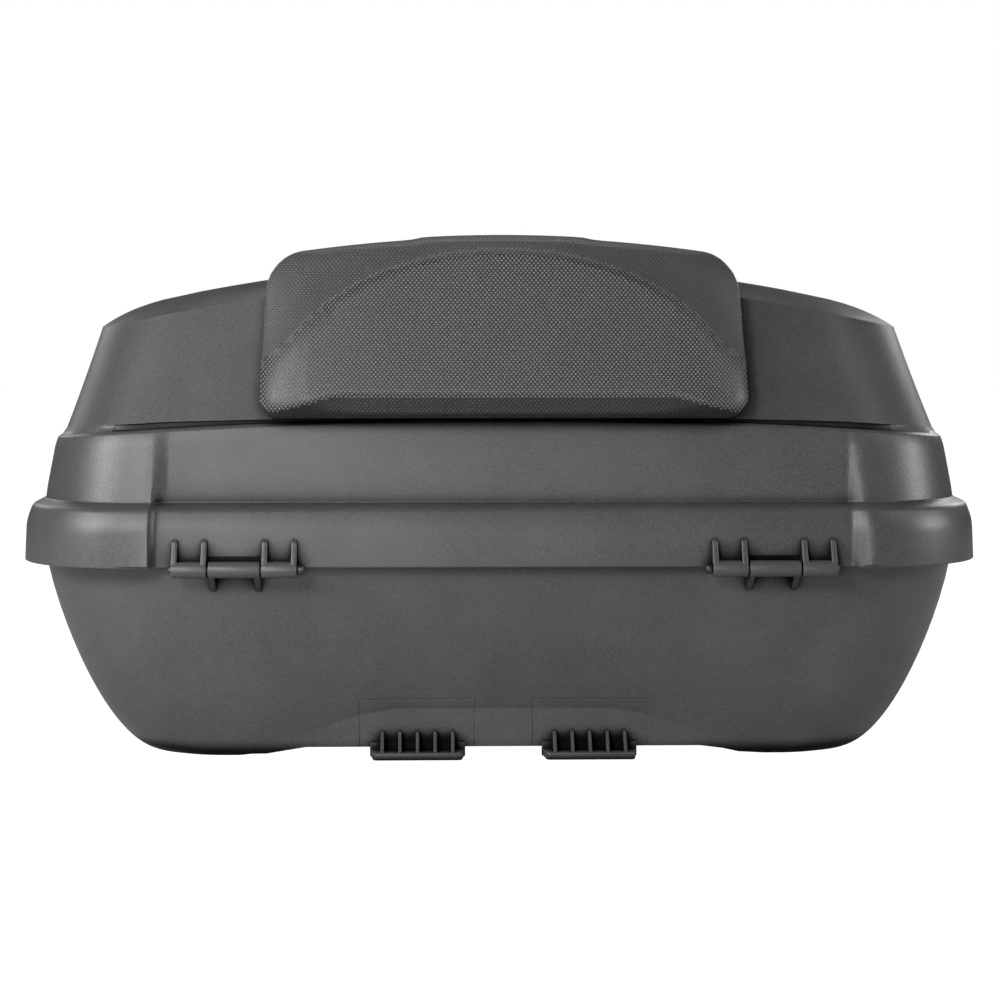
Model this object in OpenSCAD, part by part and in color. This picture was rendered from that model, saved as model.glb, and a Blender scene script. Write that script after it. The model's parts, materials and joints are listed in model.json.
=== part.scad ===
// Motorcycle top case with a passenger backrest: a moulded tub on two feet, a domed lid on two
// knuckle hinges, a rim seal, a cam lock in a hood on the lid, and a sprung hook that holds the
// case on its mounting plate. X runs across the case, -Y is the hinge side, Z is up from the feet.
// All sizes are in millimetres.

/* [Case] */
// Width across the lid's skirt
case_w = 585; // [487:1:702]
// Reach of the lid's skirt on the hinge side
case_front = 222; // [190:1:266]
// Reach of the lid's skirt on the lock side
case_rear = 212; // [180:1:254]
// Plan radius of the two corners beside the hinges
corner_r = 82; // [65:1:100]
// Plan radius of the two corners beside the lock
rear_corner_r = 92; // [75:1:110]
// Outward bow of the two ends
side_bow = 2; // [0.5:0.1:4]
// Wall of both mouldings
wall = 3; // [2.5:0.1:3.6]

/* [Lid] */
// Height of the skirt's lower edge above the feet
skirt_z = 116; // [97:1:139]
// Height of the skirt
skirt_h = 37.2; // [35:0.1:44.6]
// Inward taper of the skirt
skirt_draft = 3; // [1:0.1:4]
// Width of the step above the skirt
step_w = 10.4; // [9:0.1:12.4]
// Height of the band's top edge above the skirt's edge
band_h = 86.8; // [80:0.1:95]
// Fall of the band's top edge towards the sides
band_fall = 13; // [0:1:18]
// Inward taper of the band
band_draft = 6.2; // [4:0.1:8]
// Height of the crown above the skirt's edge
crown_h = 183; // [152:0.1:220]
// Fall of the crown towards the sides
crown_fall_x = 44; // [30:1:54]
// Fall of the crown towards front and back
crown_fall_y = 10.6; // [4:0.1:14]
// Lean of the dome's side walls
dome_side = 18.5; // [14:0.5:26]
// Lean of the dome's hinge-side wall
dome_front = 29.5; // [20:0.5:36]
// Lean of the dome's lock-side wall
dome_rear = 53; // [40:0.5:64]
// Plan radius of the dome's hinge-side corners
dome_r = 58; // [45:1:70]
// Plan radius of the dome's lock-side corners
dome_rear_r = 70; // [55:1:85]
// Reach of the rounding between dome wall and crown
edge_w = 55; // [44:0.5:66]
// Height of that rounding
edge_h = 8; // [6:0.5:12]
// Depth of the recess that the hinges stand in
recess = 6; // [3:0.1:7]
// Width of the ramp at each end of that recess
ramp = 8; // [5:0.5:14]

/* [Tub] */
// Straight taper of the tub's side walls
tub_taper = 24.7; // [20:0.1:30]
// Sideways reach of the rounding under the tub
tub_round = 44; // [36:1:53]
// Fullness of that rounding
tub_full = 1.63; // [1.4:0.01:2.8]
// Share of the side taper that the hinge side has
front_share = 0.375; // [0.3:0.001:0.45]
// Share of the side taper that the lock side has
rear_share = 0.88; // [0.7:0.01:1]
// Half width of the plinth between the feet
plinth_x = 138; // [115:1:150]
// Height of the plinth's underside above the feet
plinth_z = 5.5; // [5:0.1:9]
// Rise of the rounding above the plinth
arch_h = 20; // [12:1:24]
// Height of the tub's rim above the skirt's edge
rim_h = 27; // [25:0.5:29]
// Clearance between rim and skirt
rim_gap = 2.3; // [1.6:0.1:3]
// Width of the seal's groove
groove_w = 4.2; // [3.6:0.1:5]
// Depth of the seal's groove
groove_d = 4; // [3:0.1:5]

/* [Hinges] */
// Distance of each hinge from the middle
hinge_x = 158; // [120:1:165]
// Outer radius of the knuckles
knuckle_r = 4.8; // [4:0.1:5.8]
// Length of the tub's knuckle
tub_knuckle = 30; // [25:0.5:36]
// Length of each lid knuckle
lid_knuckle = 20.5; // [17:0.5:25]
// Gap between neighbouring knuckles
knuckle_gap = 1; // [0.5:0.1:1.5]
// Radius of the hinge pin
pin_r = 2; // [1.6:0.1:2.4]
// Running clearance round a pin
pin_clear = 0.05; // [0.02:0.01:0.1]
// Thickness of the hinge ribs
rib_t = 3.4; // [2.8:0.1:4]
// Height of the lid's hinge ribs above the hinge axis
rib_h = 17.2; // [14:0.1:20]

/* [Tongues] */
// Distance of each plate tongue from the middle
tongue_x = 51.5; // [45:0.5:62]
// Width of a tongue
tongue_w = 53; // [44:0.5:64]
// Reach of a tongue in front of the plinth
tongue_l = 16; // [13:0.5:19]
// Thickness of a tongue
tongue_t = 4.3; // [3.5:0.1:5.2]
// Number of gussets on a tongue
gussets = 5; // [3:1:6]
// Thickness of a gusset
gusset_t = 2; // [1.6:0.1:2.4]
// Height of the gussets above the tongue's underside
gusset_h = 15.3; // [12:0.1:18]

/* [Backrest] */
// Half width of the pad at its foot
pad_hw = 144; // [120:1:150]
// Height of the pad
pad_h = 108.5; // [90:0.5:130]
// Thickness of the pad at its foot
pad_t = 26; // [21:0.1:31.5]
// Thickness that the pad's front panel gains towards its top
pad_swell = 8; // [0:0.5:12]
// Fall of the pad's top edge towards its corners
pad_arch = 9.3; // [6:0.1:13]
// Thickness of the carrier plate
plate_t = 3; // [2.5:0.1:3.6]
// Half spacing of the backrest screws across the case
screw_x = 85; // [70:1:100]
// Spacing of the backrest screws up the wall
screw_v = 46; // [36:1:54]
// Radius of the backrest screws
screw_r = 2.5; // [2:0.1:3]

/* [Lock] */
// Half width of the lock hood
hood_x = 32; // [28:0.5:40]
// Reach of the hood behind the skirt
hood_y = 10.6; // [9:0.1:12.8]
// Height of the lock's axis above the skirt's edge
lock_h = 12; // [11:0.1:12.5]
// Radius of the lock body
lock_r = 9.5; // [8:0.1:10.5]
// Radius of the lock's rim
bezel_r = 12; // [11:0.1:13]
// Thickness of the lock's rim
bezel_t = 3.5; // [2.5:0.1:4.2]
// Radius of the key barrel
barrel_r = 6.5; // [5.4:0.1:7.2]
// Reach of the cam from the lock's axis
cam_l = 14; // [12.5:0.1:14.5]
// Half width of the cam
cam_w = 4.5; // [3.6:0.1:5]
// Thickness of cam and keeper
sheet_t = 2; // [1.6:0.1:2.4]

/* [Plate release] */
// Half width of the housing
box_x = 36; // [31:0.5:43]
// Length of the housing
box_y = 66; // [62:0.5:72]
// Height of the housing
box_z = 30; // [27:0.5:34]
// Wall of the housing
box_wall = 2.4; // [2:0.1:2.8]
// Travel of the release button
press = 8; // [6:0.5:9]
// Half width of the release button
button_x = 15; // [12:0.5:18]
// Height of the release button
button_z = 12; // [10:0.5:14]
// Clearance of the sliding pieces
slide_gap = 0.4; // [0.3:0.05:0.6]
// Mean radius of the release spring
spring_r = 4.4; // [3.8:0.1:5]
// Wire radius of the release spring
wire_r = 0.6; // [0.4:0.05:0.8]

/* [Reflectors] */
// Distance of each reflector from the middle
lens_x = 128; // [110:1:134]
// Width of a reflector
lens_w = 96; // [80:1:105]
// Height of a reflector
lens_h = 22; // [18:0.5:26]
// Thickness of a reflector
lens_t = 3.2; // [2.6:0.1:4]

/* [Hidden] */
$fn = 48;

// Seat of one piece on another
seat = 0.3;
half_w = case_w / 2;
step_z = skirt_z + skirt_h;
band_z = skirt_z + band_h;
crown_z = skirt_z + crown_h;
rim_z = skirt_z + rim_h;
shelf_z = rim_z + 6;

// Steps in one turn round the case: ramp, panel, corner and side
n_ramp = 3;
n_panel = 8;
n_corner = 9;
n_side = 4;
n_front = 2 * n_ramp + n_panel;
n_ring = 2 * n_front + 4 * n_corner + 2 * n_side;
// The ring's point in the middle of the right side
n_right = n_front + n_corner + n_side / 2;

function lerp(a, b, t) = a + (b - a) * t;
function smooth(t) = let (c = min(1, max(0, t))) c * c * (3 - 2 * c);

// Points of the hinge side run from -1 to 1 with close steps on the recess ramps
ramp_share = ramp / (half_w - side_bow - corner_r);
front_u = concat(
    [for (i = [0 : n_ramp - 1]) -1 + ramp_share * i / n_ramp],
    [for (i = [0 : n_panel - 1]) (1 - ramp_share) * (2 * i / n_panel - 1)],
    [for (i = [0 : n_ramp - 1]) 1 - ramp_share + ramp_share * i / n_ramp]);

function arc(cx, cy, r, a0) =
    [for (i = [0 : n_corner - 1]) let (a = a0 + 90 * i / n_corner) [cx + r * cos(a), cy + r * sin(a)]];

// One plan outline: half width, hinge-side and lock-side reach, and the radii of their corners
function bowed(i) = side_bow * 4 * i / n_side * (1 - i / n_side);
function outline(half, f, b, r, rr) = let (hw = half - side_bow) concat(
    [for (u = front_u) [u * (hw - r), -f]],
    arc(hw - r, r - f, r, -90),
    [for (i = [0 : n_side - 1]) [hw + bowed(i), lerp(r - f, b - rr, i / n_side)]],
    arc(hw - rr, b - rr, rr, 0),
    [for (u = front_u) [-u * (hw - rr), b]],
    arc(rr - hw, b - rr, rr, 90),
    [for (i = [0 : n_side - 1]) [-hw - bowed(i), lerp(b - rr, r - f, i / n_side)]],
    arc(r - hw, r - f, r, 180));

// How far the hinge recess pushes a point of the hinge side back
function dip(p, half, r, d) = p.y > 0 ? 0 : let (x = half - side_bow - r,
    s = min(1, max(0, (abs(p.x) - x * (1 - ramp_share)) / (x * ramp_share)))) d * (1 - s * s);

// Skins a list of rings, each closed by a point at its first and its last end
function skin_points(rings, first, last) = concat([for (r = rings) each r], [first, last]);
function skin_faces(n, count) = concat(wall_faces(n, count),
    [for (i = [0 : n - 1]) let (j = (i + 1) % n, c = count * n)
        each [[c, i, j], [c + 1, c - n + j, c - n + i]]]);
module skin(rings, first, last) {
    polyhedron(skin_points(rings, first, last), skin_faces(len(rings[0]), len(rings)), convexity = 8);
}

// Closes a tub's floor with strips that run straight from the hinge side to the lock side
function floor_faces(at, up) = let (h = n_ring / 2) [for (k = [0 : h - 1])
    let (a = at + (n_right - k + n_ring) % n_ring, c = at + (n_right - k - 1 + n_ring) % n_ring,
        b = at + n_right + k, d = b + 1)
    each concat(k > 0 ? [up ? [c, b, a] : [c, a, b]] : [], k < h - 1 ? [up ? [c, d, b] : [c, b, d]] : [])];
function wall_faces(n, count) = [for (k = [0 : count - 2], i = [0 : n - 1])
    let (j = (i + 1) % n, a = k * n, b = a + n) each [[a + i, b + j, a + j], [a + i, b + i, b + j]]];

// Height of the band's top edge, of the crown, and of the dome's foot above the band
function band_top(x) = band_z - band_fall * pow(x / half_w, 2);
function crown(x, y) = crown_z - crown_fall_x * pow(x / half_w, 2) - crown_fall_y * pow(y / case_front, 2);
function foot_rise(x) = 1.5 + 4 * min(1, pow(x / 170, 2));

// Inward steps of the lid, from the skirt's lower edge
band_i = skirt_draft + step_w;
lip_i = band_i + band_draft;
foot_i = lip_i + 6.4;
foot_front_i = lip_i + 5.4;
inner_i = lip_i + 3.8;
rim_i = wall + 0.8 * skirt_draft + rim_gap;

// A ring of the skirt and band: inward step, height and share of the band's top edge in that height
function lid_ring(i, z, t = 0) = let (hw = half_w - i, r = corner_r - 0.65 * i)
    [for (p = outline(hw, case_front - i, case_rear - i, r, rear_corner_r - 0.65 * i))
        [p.x, p.y + dip(p, hw, r, recess), lerp(z, band_top(p.x) + z - band_z, t)]];
// A ring of the dome: inward step past its foot, share of the wall's height, and drop under the crown
function dome_ring(d, t, drop, w = 0, low = 0) = let (s = max(0, d - 1))
    [for (p = outline(half_w - foot_i - w - dome_side * min(1, d) - s,
            case_front - foot_front_i - w - dome_front * min(1, d) - s,
            case_rear - foot_i - w - dome_rear * min(1, d) - s, dome_r - w, dome_rear_r - w))
        [p.x, p.y, lerp(band_top(p.x) + foot_rise(p.x) - low, crown(p.x, p.y) - drop, t)]];
function edge_drop(s) = edge_h * pow(1 - s / edge_w, 3.4);
function shrink(ring, f, low) = [for (p = ring) [p.x * f, p.y * f, crown(p.x * f, p.y * f) - low]];

// Section of the step above the skirt: share of its width, and height from its middle
step_curve = [[0.12, -3], [0.46, 1.2], [0.81, 4.6], [1, 8.6]];
band_foot = step_z + 8.6;
edge_steps = [0, 3.2, 8, 15.5, 27, edge_w];
crown_steps = [0.72, 0.44, 0.18];
crown_ring = dome_ring(1 + edge_w, 1, 0);
crown_ring_in = dome_ring(1 + edge_w, 1, wall, wall);

lid_rings = concat(
    [for (f = [0.18, 0.44, 0.72]) shrink(crown_ring_in, f, wall)],
    [for (k = [5, 3, 2]) dome_ring(1 + edge_steps[k], 1, edge_drop(edge_steps[k]) + wall, wall)],
    [dome_ring(1, 1, edge_h + 0.4 * wall, wall), dome_ring(0.5, 0.5, edge_h + 0.3 * wall, wall, 0.4),
        dome_ring(0, 0, 0, wall, 0.5 * wall)],
    [lid_ring(lip_i + wall, band_z - 4, 1), lid_ring(band_i + wall + 0.4, step_z + 6),
        lid_ring(band_i + 1.6, shelf_z), lid_ring(wall + skirt_draft + 2, shelf_z),
        lid_ring(wall + skirt_draft, step_z - 9), lid_ring(wall, skirt_z), lid_ring(0.6, skirt_z),
        lid_ring(0, skirt_z + 1.2), lid_ring(skirt_draft, step_z - 7)],
    [for (q = step_curve) lid_ring(skirt_draft + q.x * step_w, step_z + q.y)],
    [lid_ring(band_i + 0.48 * band_draft, lerp(band_foot, band_z, 0.48), 0.48),
        lid_ring(lip_i - 0.2, band_z - 1.8, 1), lid_ring(lip_i + 1, band_z, 1),
        lid_ring(lip_i + 2.4, band_z, 1)],
    [dome_ring(0, 0, 0), dome_ring(0.5, 0.5, edge_h), dome_ring(1, 1, edge_h)],
    [for (k = [1 : 5]) dome_ring(1 + edge_steps[k], 1, edge_drop(edge_steps[k]))],
    [for (f = crown_steps) shrink(crown_ring, f, 0)]);

// The tub: v runs down the wall from the skirt's edge to the bottom
tub_i = rim_i + 3.8;
tub_top = skirt_z - 2;
tub_f = case_front - rim_i - 2.8 - recess;
tub_b = case_rear - tub_i;
crease_v = 0.905;
plinth_y = tub_f - front_share * tub_inset(crease_v);
function tub_inset(v) = tub_taper * v + tub_round * (1 - sqrt(max(0, 1 - pow(v, tub_full))));
function plinth_part(x) = smooth((plinth_x + 6 - abs(x)) / 12);
function arch_z(x) = arch_h * smooth((plinth_x + 4 - abs(x)) / 78);
function crease_z(x) = tub_top - crease_v * (tub_top - arch_z(x));
function foot_z(v, x) = tub_top - v * (tub_top - plinth_z * plinth_part(x));

// A ring of the tub's wall; w is the depth under the outer face
function tub_ring(v, w = 0) = let (i = tub_inset(v), up = w * pow(v, 3), d = (v - crease_v) / (1 - crease_v))
    [for (p = outline(half_w - tub_i - i - w, tub_f - front_share * i - w, tub_b - rear_share * i - w,
            lerp(80, 44, v) - w, lerp(88, 66, v) - w))
        let (k = d > 0 && p.y < 0 ? plinth_part(p.x) : 0,
            z = p.y > 0 ? foot_z(v, p.x) : tub_top - v * (tub_top - arch_z(p.x)))
        [p.x, lerp(p.y, w - plinth_y, k),
            up + (d > 0 && p.y < 0 ? lerp(tub_top * (1 - v), lerp(crease_z(p.x), plinth_z, d), k) : z)]];
// A ring of the rim, which follows the lid's outline with its hinge recess
function rim_ring(i, z) = lid_ring(i, z);

tub_steps = [0, 0.22, 0.42, 0.58, 0.7, 0.79, 0.86, crease_v, 0.945, 0.975, 1];
groove_a = rim_i + 2;
groove_b = groove_a + groove_w;
tub_rings = concat(
    [for (k = [10 : -1 : 0]) tub_ring(tub_steps[k])],
    [rim_ring(rim_i + 2.8, skirt_z + 8), rim_ring(rim_i + 2.8, rim_z - 7.5), rim_ring(rim_i, rim_z - 5.5),
        rim_ring(rim_i, rim_z - 0.6), rim_ring(rim_i + 0.6, rim_z), rim_ring(groove_a, rim_z),
        rim_ring(groove_a, rim_z - groove_d), rim_ring(groove_b, rim_z - groove_d), rim_ring(groove_b, rim_z),
        rim_ring(groove_b + 1.5, rim_z), rim_ring(groove_b + 2.1, rim_z - 0.6),
        rim_ring(groove_b + 2.1, rim_z - 7.5), rim_ring(rim_i + 2.8 + wall, rim_z - 12),
        rim_ring(rim_i + 2.8 + wall, skirt_z + 8)],
    [for (k = [0, 2, 4, 6, 7, 8, 9, 10]) tub_ring(tub_steps[k], wall)]);

// Hinge line
panel_y = case_front - recess;
axis_y = -panel_y - knuckle_r - 0.5;
axis_z = skirt_z - 0.4;
lid_from = tub_knuckle / 2 + knuckle_gap;
lid_to = lid_from + lid_knuckle;

module along_x(x0, x1) {
    translate([x0, 0, 0]) rotate([90, 0, 90]) linear_extrude(x1 - x0) children();
}
module hinge_bar(x0, x1, r) {
    translate([x0, axis_y, axis_z]) rotate([0, 90, 0]) cylinder(r = r, h = x1 - x0);
}
module lid_knuckles() {
    for (s = [-1, 1]) {
        a = s > 0 ? lid_from : -lid_to;
        hinge_bar(a, a + lid_knuckle, knuckle_r);
        along_x(a, a + lid_knuckle)
            polygon([[axis_y, axis_z + 1], [1 - panel_y, axis_z + 1], [1 - panel_y, axis_z + knuckle_r],
                [axis_y, axis_z + knuckle_r]]);
        for (x = [a, a + lid_knuckle - rib_t]) along_x(x, x + rib_t)
            polygon([[axis_y - 0.8 * knuckle_r, axis_z + 0.6 * knuckle_r], [axis_y, axis_z],
                [1.4 - panel_y, axis_z + 1], [1.4 - panel_y, axis_z + rib_h],
                [0.4 - panel_y - 1.2, axis_z + rib_h], [0.4 - panel_y - 2.6, axis_z + rib_h - 1.6]]);
    }
}
module tub_knuckle_block() {
    hinge_bar(-tub_knuckle / 2, tub_knuckle / 2, knuckle_r);
    along_x(-tub_knuckle / 2, tub_knuckle / 2)
        polygon([[axis_y, axis_z - knuckle_r], [1.5 - tub_f, axis_z - knuckle_r],
            [1.5 - tub_f, axis_z - 1], [axis_y, axis_z - 1]]);
    for (x = [-tub_knuckle / 2, tub_knuckle / 2 - rib_t]) along_x(x, x + rib_t)
        polygon([[axis_y - 0.6 * knuckle_r, axis_z - 0.8 * knuckle_r], [2 - tub_f, axis_z - knuckle_r + 1],
            [2 - tub_f, axis_z - 14.4], [0.6 - tub_f, axis_z - 14.4]]);
}
module hinges() { for (s = [-1, 1]) translate([s * hinge_x, 0, 0]) children(); }

// Plate tongues with their gussets
module tongue() {
    y0 = -plinth_y - tongue_l;
    y1 = -plinth_y + wall;
    x0 = tongue_w / 2;
    linear_extrude(tongue_t) polygon([[1.5 - x0, y0], [x0 - 1.5, y0], [x0, y0 + 1.5], [x0 + 2, y1],
        [-x0 - 2, y1], [-x0, y0 + 1.5]]);
    translate([-x0 - 2, 0.4 - plinth_y, 0]) cube([2 * x0 + 4, wall - 0.4, plinth_z + wall]);
    pitch = (tongue_w - 11) / (gussets - 1);
    for (i = [0 : gussets - 1]) translate([(i - (gussets - 1) / 2) * pitch, 0, 0])
        along_x(-gusset_t / 2, gusset_t / 2)
            polygon([[y0 + 1.6, tongue_t - 0.6], [-plinth_y + 1, tongue_t - 0.6], [-plinth_y + 1, gusset_h],
                [-plinth_y - 3, gusset_h]]);
}

// Screw places on the dome's hinge side; local Z leaves the wall
wall_lo = band_z + 1.5;
wall_hi = crown(0, case_front - foot_front_i - dome_front) - edge_h;
wall_y = case_front - foot_front_i;
lean = atan2(dome_front, wall_hi - wall_lo);
module on_dome(w) {
    translate([0, -wall_y, wall_lo]) rotate([90 - lean, 0, 0]) translate([0, 0, w]) children();
}
screw_v0 = 20;
wall_back = wall + 1.9;
module at_screws() {
    for (s = [-1, 1], k = [0, 1]) translate([s * screw_x, screw_v0 + k * screw_v, 0]) children();
}

// Lock places: the hood stands on the skirt's lock side
hood_face = case_rear + hood_y;
lock_z = skirt_z + lock_h;
cam_y = hood_face - wall - 4 - sheet_t - 2.4;
module on_lock(y) { translate([0, y, lock_z]) rotate([-90, 0, 0]) children(); }
hood_outline = [[case_rear - 3.4, skirt_z - 2.5], [hood_face, skirt_z - 2.5], [hood_face, step_z - 9],
    [hood_face - 2.6, step_z - 2], [case_rear, step_z + 1.8], [case_rear - skirt_draft - 5.6, step_z + 1.8],
    [case_rear - skirt_draft - 1.4, step_z - 9]];
keeper_y = case_rear - rim_i - 2.8;
keeper_z = rim_z - 7.5;

module base_shell() color([0.23, 0.23, 0.24]) difference() {
    union() {
        polyhedron([for (r = tub_rings) each r], concat(floor_faces(0, false),
            wall_faces(n_ring, len(tub_rings)), floor_faces((len(tub_rings) - 1) * n_ring, true)), convexity = 8);
        hinges() tub_knuckle_block();
        for (s = [-1, 1]) translate([s * tongue_x, 0, 0]) tongue();
    }
    hinges() hinge_bar(-tub_knuckle, tub_knuckle, pin_r + pin_clear);
    at_housing_screws() translate([0, 0, -1]) cylinder(r = 2 + pin_clear, h = 4 * wall);
    at_keeper_screws() cylinder(r = 1.75 + pin_clear, h = 6 * wall, center = true);
    translate([-button_x - slide_gap, box_back + box_y, slider_z - slide_gap])
        cube([2 * (button_x + slide_gap), tub_b - box_back - box_y, button_z + 2 * slide_gap]);
    translate([-catch_x - slide_gap, hook_y - press - slide_gap, -1])
        cube([2 * (catch_x + slide_gap), hook_l + press + 2 * slide_gap, plinth_z + wall + 2]);
}

// The seal: a bulb section carried round the rim's groove
seal_a = groove_a + 0.35;
seal_b = groove_b - 0.35;
seal_lo = rim_z - groove_d + 0.2;
seal_hi = shelf_z - 0.4;
seal_mid = (seal_a + seal_b) / 2;
seal_section = [[seal_a, seal_lo], [seal_a, rim_z + 0.6], [lerp(seal_a, seal_mid, 0.35), seal_hi - 1.2],
    [seal_mid, seal_hi], [lerp(seal_b, seal_mid, 0.35), seal_hi - 1.2], [seal_b, rim_z + 0.6],
    [seal_b, seal_lo]];
module rim_seal() color([0.07, 0.07, 0.07]) {
    rings = [for (q = seal_section) lid_ring(q.x, q.y)];
    m = len(seal_section);
    polyhedron([for (r = rings) each r],
        [for (k = [0 : m - 1], i = [0 : n_ring - 1])
            let (j = (i + 1) % n_ring, a = k * n_ring, b = ((k + 1) % m) * n_ring)
            each [[a + i, b + j, a + j], [a + i, b + i, b + j]]], convexity = 8);
}

module hinge_pin(s) color([0.62, 0.62, 0.64]) translate([s * hinge_x, 0, 0]) {
    inner = -s * lid_to;
    hinge_bar(-lid_to - (s > 0 ? seat : 1.5), lid_to + (s > 0 ? 1.5 : seat), pin_r);
    hinge_bar(inner - (s > 0 ? 4 : -seat), inner + (s > 0 ? -seat : 4), pin_r + 1);
}
module hinge_pin_left() hinge_pin(-1);
module hinge_pin_right() hinge_pin(1);

module lid_shell() color([0.23, 0.23, 0.24]) difference() {
    union() {
        skin(lid_rings, [0, 0, crown_z - wall], [0, 0, crown_z]);
        hinges() lid_knuckles();
        intersection() {
            along_x(-hood_x, hood_x) polygon(hood_outline);
            linear_extrude(2 * step_z) polygon([[-hood_x, 0], [hood_x, 0], [hood_x, hood_face - 4],
                [hood_x - 4, hood_face], [4 - hood_x, hood_face], [-hood_x, hood_face - 4]]);
        }
    }
    hinges() hinge_bar(-2 * lid_to, 2 * lid_to, pin_r + pin_clear);
    hinges() translate([-lid_from, -panel_y - 4, 0]) cube([2 * lid_from, 4 + 2 * wall, skirt_z + 7]);
    translate([wall - hood_x, case_rear - 12, 0]) cube([2 * (hood_x - wall), 12 + hood_y - wall, step_z - 8]);
    on_lock(case_rear) cylinder(r = lock_r + pin_clear, h = 2 * hood_y);
    on_dome(-4 * wall) at_screws() cylinder(r = screw_r + 0.4, h = 6 * wall);
}

// The pad: an outline in X and Z, carried from its flat back to a crowned front
pad_z = band_z + 0.5;
pad_mid = pad_z + 0.45 * pad_h;
pad_top_r = 26;
pad_foot_r = 14;
pad_in = 3;
function pad_arc(cx, cz, r, a0, a1, n) =
    [for (i = [0 : n - 1]) let (a = lerp(a0, a1, i / n)) [cx + r * cos(a), cz + r * sin(a)]];
pad_shoulder = pad_z + pad_h - pad_arch;
pad_outline = concat(
    [for (i = [0 : 5]) [lerp(pad_foot_r - pad_hw, pad_hw - pad_foot_r, i / 6), pad_z]],
    pad_arc(pad_hw - pad_foot_r, pad_z + pad_foot_r, pad_foot_r, -90, 0, 4),
    [for (i = [0 : 3]) [pad_hw - pad_in * i / 4, lerp(pad_z + pad_foot_r, pad_shoulder - pad_top_r, i / 4)]],
    pad_arc(pad_hw - pad_in - pad_top_r, pad_shoulder - pad_top_r, pad_top_r, 0, 78, 5),
    [for (i = [0 : 9]) let (u = 1 - i / 5, x = u * (pad_hw - pad_in - 0.8 * pad_top_r))
        [x, pad_shoulder + pad_arch * (1 - u * u) - 0.6 * u * u]],
    pad_arc(pad_in + pad_top_r - pad_hw, pad_shoulder - pad_top_r, pad_top_r, 102, 180, 5),
    [for (i = [0 : 3]) [pad_in - pad_hw - pad_in * i / 4,
        lerp(pad_shoulder - pad_top_r, pad_z + pad_foot_r, i / 4)]],
    pad_arc(pad_foot_r - pad_hw, pad_z + pad_foot_r, pad_foot_r, 180, 270, 4));
plate_seat = 0.5;
back_w = plate_seat + plate_t;
function pad_back(z) = -wall_y - (back_w + 0.1) / cos(lean) + (z - wall_lo) * tan(lean);
// Share of the front panel: whole inside an arch, falling to nothing at the pad's border
function panel_e(x, z) = let (h = z - pad_z - 15)
    h < 0 ? max(abs(x) / pad_hw, 1 - h / 50) : sqrt(pow(x / pad_hw, 2) + pow(h / (pad_h - 24), 2));
function panel_share(x, z) = 1 - smooth((panel_e(x, z) - 0.96) / 0.34);
function pad_point(q, f) = let (x = q.x * f, z = pad_mid + (q.y - pad_mid) * f,
        up = (z - pad_z) / pad_h, full = 0.72 * pad_t + (0.28 * pad_t + pad_swell * up) * panel_share(x, z),
        r = f > 0.92 ? sqrt(max(0, 1 - pow((f - 0.92) / 0.08, 2))) : 1)
    [x, pad_back(z) - lerp(0.3 * pad_t, full, r), z];
function pad_base(q, f) = let (z = pad_mid + (q.y - pad_mid) * f) [q.x * f, pad_back(z), z];
module backrest_pad() color([0.16, 0.16, 0.17]) difference() {
    skin(concat([for (f = [0.5, 0.98]) [for (q = pad_outline) pad_base(q, f)]],
            [[for (q = pad_outline) pad_base(q, 1) - [0, 0.1 * pad_t, 0]]],
            [for (f = [1, 0.994, 0.975, 0.95, 0.92, 0.86, 0.78, 0.66, 0.48, 0.25])
                [for (q = pad_outline) pad_point(q, f)]]),
        pad_base([0, pad_mid], 0), pad_point([0, pad_mid], 0));
    on_dome(back_w - 1) at_screws() cylinder(r = 6.3, h = 10.5);
}

function tapered(hw0, hw1, v0, v1, r) = concat(
    pad_arc(hw0 - r, v0 + r, r, -90, 0, 6), pad_arc(hw1 - r, v1 - r, r, 0, 90, 6),
    pad_arc(r - hw1, v1 - r, r, 90, 180, 6), pad_arc(r - hw0, v0 + r, r, 180, 270, 6));
module backrest_plate() color([0.1, 0.1, 0.1]) difference() {
    union() {
        on_dome(plate_seat) linear_extrude(plate_t)
            polygon(tapered(pad_hw - 12, pad_hw - 18, 6, pad_h - 20, 16));
        on_dome(plate_seat) at_screws() cylinder(r = 6, h = plate_t + 8);
    }
    on_dome(-1) at_screws() cylinder(r = screw_r + pin_clear, h = plate_t + 7);
}
module backrest_screws() color([0.6, 0.6, 0.62]) on_dome(-wall_back - 1.2) at_screws() {
    cylinder(r = screw_r, h = wall_back + plate_t + 5);
    translate([0, 0, -2.8]) difference() {
        cylinder(r = 4.8, h = 2.8);
        translate([0, 0, -1]) cylinder(r = 1.6, h = 2.8, $fn = 6);
    }
}
module backrest_washers() color([0.6, 0.6, 0.62]) on_dome(-wall_back - 1.2) at_screws() difference() {
    cylinder(r = 6.5, h = 1.2);
    translate([0, 0, -1]) cylinder(r = screw_r + 0.1, h = 4);
}

// Reflectors on the band's lock side
band_lean = atan2(0.48 * band_draft, 0.48 * (band_z - band_foot));
module lens(s) color([0.7, 0.05, 0.05])
    translate([s * lens_x, case_rear - band_i - 0.48 * band_draft + seat, lerp(band_foot, band_z, 0.48) - 2])
    rotate([band_lean - 90, 0, 0]) linear_extrude(lens_t)
    polygon(tapered(lens_w / 2, lens_w / 2, -lens_h / 2, lens_h / 2, 6));
module reflector_left() lens(-1);
module reflector_right() lens(1);

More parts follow.
